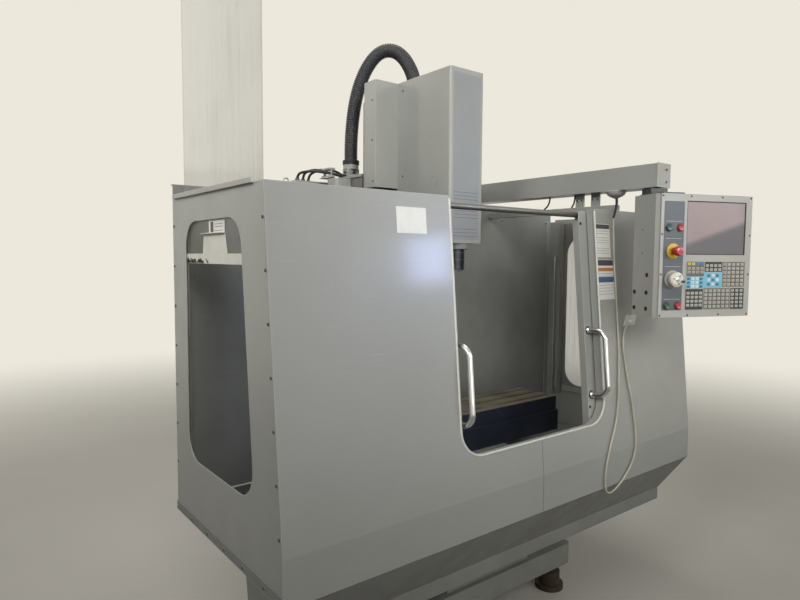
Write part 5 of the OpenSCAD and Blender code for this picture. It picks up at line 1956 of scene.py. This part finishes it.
@dataclass(frozen=True)
class CabinetTrim:
    """Louvres, plate, lifting eyes and side grilles of the control cabinet.

    Attributes:
        half_width: Half the cabinet's width.
        door_d: Depth of the door's outer face.
        high_z: The cabinet's top.
        louvre_x: Left ends of the two columns of louvres.
        louvre_z: Height of the lowest louvre and their spacing.
        plate: The door plate's left, lower, right and upper edges.
        eyes: Distance of the lifting eyes from the middle, and their depth.
        grille: The side grille's first depth, lower, last depth and upper edges.
    """

    half_width: float = 400.0
    door_d: float = 1443.0
    high_z: float = 1828.0
    louvre_x: tuple[int, int] = (-190, 60)
    louvre_z: tuple[int, int] = (700, 26)
    plate: Edges = (-250.0, 1560.0, 90.0, 1700.0)
    eyes: Pair = (340.0, 1330.0)
    grille: Edges = (1190.0, 1480.0, 1350.0, 1640.0)

    def build(self) -> None:
        """Draw the trim on the cabinet and on its door."""
        self._door()
        box = Solid("cabinet_fittings")
        reach, depth = self.eyes
        for x in (-reach, reach):
            box.lathe((x, depth, self.high_z), UP, [(0, 17), (3, 17), (4, 12), (9, 9)], Stuff.ZINC, 24)
            turns = [2 * math.pi * k / 24 for k in range(25)]
            box.sweep(on_circle((x, depth, self.high_z + 20), 13, turns), 3.6, Stuff.ZINC, 10)
        first, low, last, high = self.grille
        for side in (-1, 1):
            x = side * self.half_width
            box.prism(rounded((first, low), (last, high), 8), "X", *sides_of(x, 5, side), Stuff.DARK, 1.0,
                      holes=[rounded((first + 12, low + 12), (last - 12, high - 12), 4)])
            inner, outer = sides_of(x, 4, side)
            for k in range(12):
                z = low + 16 + k * 11
                box.box((inner, first + 12, z), (outer, last - 12, z + 4.5), Stuff.DARK, 0.6, 1)
            # A black sheet behind the slats paints the shade inside the cabinet.
            inner, outer = sides_of(x, 0.6, side)
            box.box((inner, first + 12, low + 12), (outer, last - 12, high - 12), Stuff.RUBBER)
        box.piece("machine", "dark_paint")

    def _door(self) -> None:
        """Draw the louvres, with a black strip of painted shade under each blade, and the blank plate on the
        door.
        """
        door = Solid("cabinet_door_louvres")
        face = self.door_d
        for x in self.louvre_x:
            for row in range(9):
                z = self.louvre_z[0] + row * self.louvre_z[1]
                blade = [(face - 0.5, z), (face - 0.5, z + 14), (face + 1.0, z + 14), (face + 6.5, z + 3),
                         (face + 6.5, z)]
                door.prism(blade, "X", x, x + 150, Stuff.PANEL, 0.8)
                # A black strip under each blade paints the shade in the louvre's slot.
                door.box((x + 4, face - 0.4, z - 1.6), (x + 146, face + 5.0, z), Stuff.RUBBER)
        left, low, right, high = self.plate
        door.prism(rounded((left, low), (right, high), 4), "Y", face - 0.2, face + 1.0, Stuff.PLATE)
        for x in (left + 10, right - 10):
            for z in (low + 10, high - 10):
                Fastener(3.6, 1.6, 0.0).add(door, (x, face + 1.0, z), TO_BACK)
        door.piece("cabinet_door", "painted_sheet")


@dataclass(frozen=True)
class ChipPile:
    """Curled chips that lie in the pan.

    Attributes:
        seed: Seed of the places.
        wire: Radius of one curled chip's strand.
        floor_z: The pan's floor.
        spots: For each heap, its X and depth ranges, its number of chips and their material.
    """

    seed: int = 5
    wire: float = 0.8
    floor_z: float = 558.0
    spots: tuple[tuple[float, float, float, float, int, Stuff], ...] = (
        (-990, -560, 90, 640, 170, Stuff.SWARF),
        (-960, -600, 600, 818, 330, Stuff.GRIME),
        (-340, 340, 20, 176, 130, Stuff.SWARF),
        (560, 990, 90, 700, 90, Stuff.SWARF),
    )

    def build(self) -> None:
        """Draw the chips on the pan's floor."""
        chips = Solid("chips_in_pan")
        dice = random.Random(self.seed)
        for x0, x1, d0, d1, count, stuff in self.spots:
            for _ in range(count):
                curl = self._curl(dice, dice.uniform(x0, x1), dice.uniform(d0, d1))
                chips.sweep(curl, [self.wire] * len(curl), stuff, 4)
        chips.piece("machine", "bare_steel")

    def _curl(self, dice: random.Random, x: float, depth: float) -> list[Vector]:
        """Give the helix of one chip that lies on the floor.

        Args:
            dice: Seeded numbers.
            x: Its place from left to right.
            depth: Its place from front to back.

        Returns:
            The helix's points, in metres.
        """
        radius = dice.uniform(1.6, 5.0)
        turns = dice.uniform(0.6, 2.2)
        steps = max(6, int(turns * 8))
        heading = dice.uniform(0, math.pi)
        pitch = dice.uniform(1.5, 4.0)
        curl = []
        for k in range(steps + 1):
            angle = 2 * math.pi * turns * k / steps
            along = pitch * turns * k / steps
            out = radius * math.cos(angle)
            curl.append(Vector((x + along * math.cos(heading) - out * math.sin(heading),
                                depth + along * math.sin(heading) + out * math.cos(heading),
                                self.floor_z + self.wire + radius * (1 + math.sin(angle)))) * MM)
        return curl


@dataclass(frozen=True)
class PanRimHighlight:
    """A pale bead along the pan's rear rim, a painted highlight of the rim catching the light.

    Attributes:
        depth: Its depth.
        z: Its height.
        span: Its inner and outer end from the middle.
        radius: Its radius.
        waves: Number of its uneven stretches.
    """

    depth: float = 823.6
    z: float = 589.0
    span: Pair = (236.0, 1042.0)
    radius: float = 3.4
    waves: int = 30

    def build(self) -> None:
        """Draw both beads, slightly uneven."""
        rim_highlight = Solid("pan_rim_painted_highlight")
        dice = random.Random(3)
        start, end = self.span
        step = (end - start) / self.waves
        # Each pale bead is a painted highlight along the rim.
        for side in (-1, 1):
            beads = [Vector((side * (start + i * step), self.depth, self.z + dice.uniform(-0.6, 0.6))) * MM
                     for i in range(self.waves + 1)]
            rim_highlight.sweep(beads, [self.radius + dice.uniform(-0.7, 0.5) for _ in beads], Stuff.PAPER, 8)
        rim_highlight.piece("machine", "pale_hose")


@dataclass(frozen=True)
class WindowTrim:
    """The blank tag on the left window's sheet, and the black chips that cling to its pull.

    Attributes:
        sheet_x: The sheet's outer face.
        tag: The tag's least and greatest depth and height.
        chips: The least and greatest depth of the chips, and the height of the sheet's lower edge.
        count: Number of chips.
        seed: Seed of the chips' places.
    """

    sheet_x: float = -1039.0
    tag: Edges = (380.0, 505.0, 1539.0, 1594.0)
    chips: Place = (490.0, 700.0, 1456.0)
    count: int = 70
    seed: int = 9

    def build(self) -> None:
        """Draw the tag and the chips."""
        tag = Solid("window_tag")
        d0, d1, z0, z1 = self.tag
        tag.prism(rounded((d0, z0), (d1, z1), 3), "X", self.sheet_x - 1.0, self.sheet_x, Stuff.PAPER)
        ink = (self.sheet_x - 1.1, self.sheet_x - 0.9)
        for z in (z0 + 10, z0 + 18, z0 + 30, z0 + 38):
            tag.box((ink[0], d0 + 12, z), (ink[1], d1 - 45, z + 1.6), Stuff.INK)
        tag.box((ink[0], d1 - 38, z0 + 14), (ink[1], d1 - 14, z1 - 8), Stuff.INK)
        tag.piece("left_window", "cream_plastic")
        flakes = Solid("window_chips")
        dice = random.Random(self.seed)
        first, last, edge_z = self.chips
        for _ in range(self.count):
            depth = dice.triangular(first, last, last)
            z = edge_z + abs(dice.gauss(0.0, 5.0))
            wide, high = dice.uniform(2.0, 8.0), dice.uniform(2.0, 9.0)
            side = (depth + wide, z + dice.uniform(0, 2))
            tip = (depth + wide * dice.uniform(0.3, 0.9), z + high)
            flakes.prism([(depth, z), side, tip], "X", self.sheet_x - 4.2, self.sheet_x - 2.2, Stuff.GRIME)
        flakes.piece("left_window", "bare_steel")


# The CAD nodes that keep their shape, and the material that each one shows
NODE_STUFF: dict[AnyStuff, tuple[str, ...]] = {
    Stuff.PANEL: ("left_front_panel", "right_front_panel", "left_side_panel", "right_side_panel", "left_door",
                  "right_door", "pendant_arm", "arm_support", "head_cover", "head_rear_cover", "column_cap",
                  "control_cabinet", "cabinet_door"),
    # The darker inner coat paints shade: inside the enclosure, and on the front apron and front beam.
    Stuff.INNER: ("back_panels", "chip_pan", "door_track", "front_apron", "front_beam"),
    Stuff.CASE: ("pendant_case", "pendant_face"),
    Stuff.CASTING: ("base_casting", "column", "saddle", "head_casting"),
    Stuff.FOOT: ("levelling_feet",),
    Stuff.DARK: ("z_motor", "spindle_motor", "pendant_neck"),
    Stuff.ZINC: ("left_window_guides", "right_window_guides"),
    Stuff.GROUND: ("door_rail",),
    Stuff.STEEL: ("x_screw", "y_screw", "z_screw"),
    Stuff.BLACKED: ("spindle",),
    Stuff.CREAM: ("left_window_pull", "right_window_pull"),
    Stuff.PAPER: ("hose_hook",),
    SpecialStuff.CLEAR: ("left_window", "right_window", "left_door_pane", "right_door_pane"),
    SpecialStuff.TABLE: ("table",),
}


def dress_nodes(nodes: dict[str, Object]) -> None:
    """Give each CAD node that stays its material.

    Args:
        nodes: The frame's nodes by name.
    """
    for stuff, names in NODE_STUFF.items():
        for name in names:
            for slot in nodes[name].material_slots:
                slot.material = material_of(stuff)


PLATES = (
    BlankPlate("panel_plate_upper", (395, 1484), (494, 1620), Stuff.PAPER, ((1600, 1618, Stuff.INK),),
               (1590, 1580, 1563, 1553, 1543, 1520, 1510, 1500)),
    BlankPlate("panel_plate_middle", (393, 1408), (508, 1475), Stuff.PAPER,
               ((1450, 1473, Stuff.INK), (1427, 1441, Stuff.INK_ORANGE)), (1417,)),
    BlankPlate("panel_plate_lower", (393, 1312), (508, 1406), Stuff.PAPER, ((1382, 1404, Stuff.INK_BLUE),),
               (1370, 1358, 1346, 1334)),
    BlankPlate("panel_sticker_left", (-618, 1553), (-500, 1634), Stuff.PAPER),
)


def main() -> None:
    """Build the whole scene."""
    logging.basicConfig(level=logging.INFO, format="%(message)s")
    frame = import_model()
    PhotoCamera().place()
    for part in (AirHose(), MachineCables(), HeadConduit(), Studio()):
        part.build()
    dress_nodes(frame["nodes"])
    for part in (EnclosureScrews(), DoorHandle(), OpeningEdge(), DoorTrim(), *PLATES, HeadTrim(), ColumnTop(),
                 Pendant(), ArmFittings(), CabinetTrim(), ChipPile(), PanRimHighlight(), WindowTrim()):
        part.build()


if __name__ == "__main__":
    main()
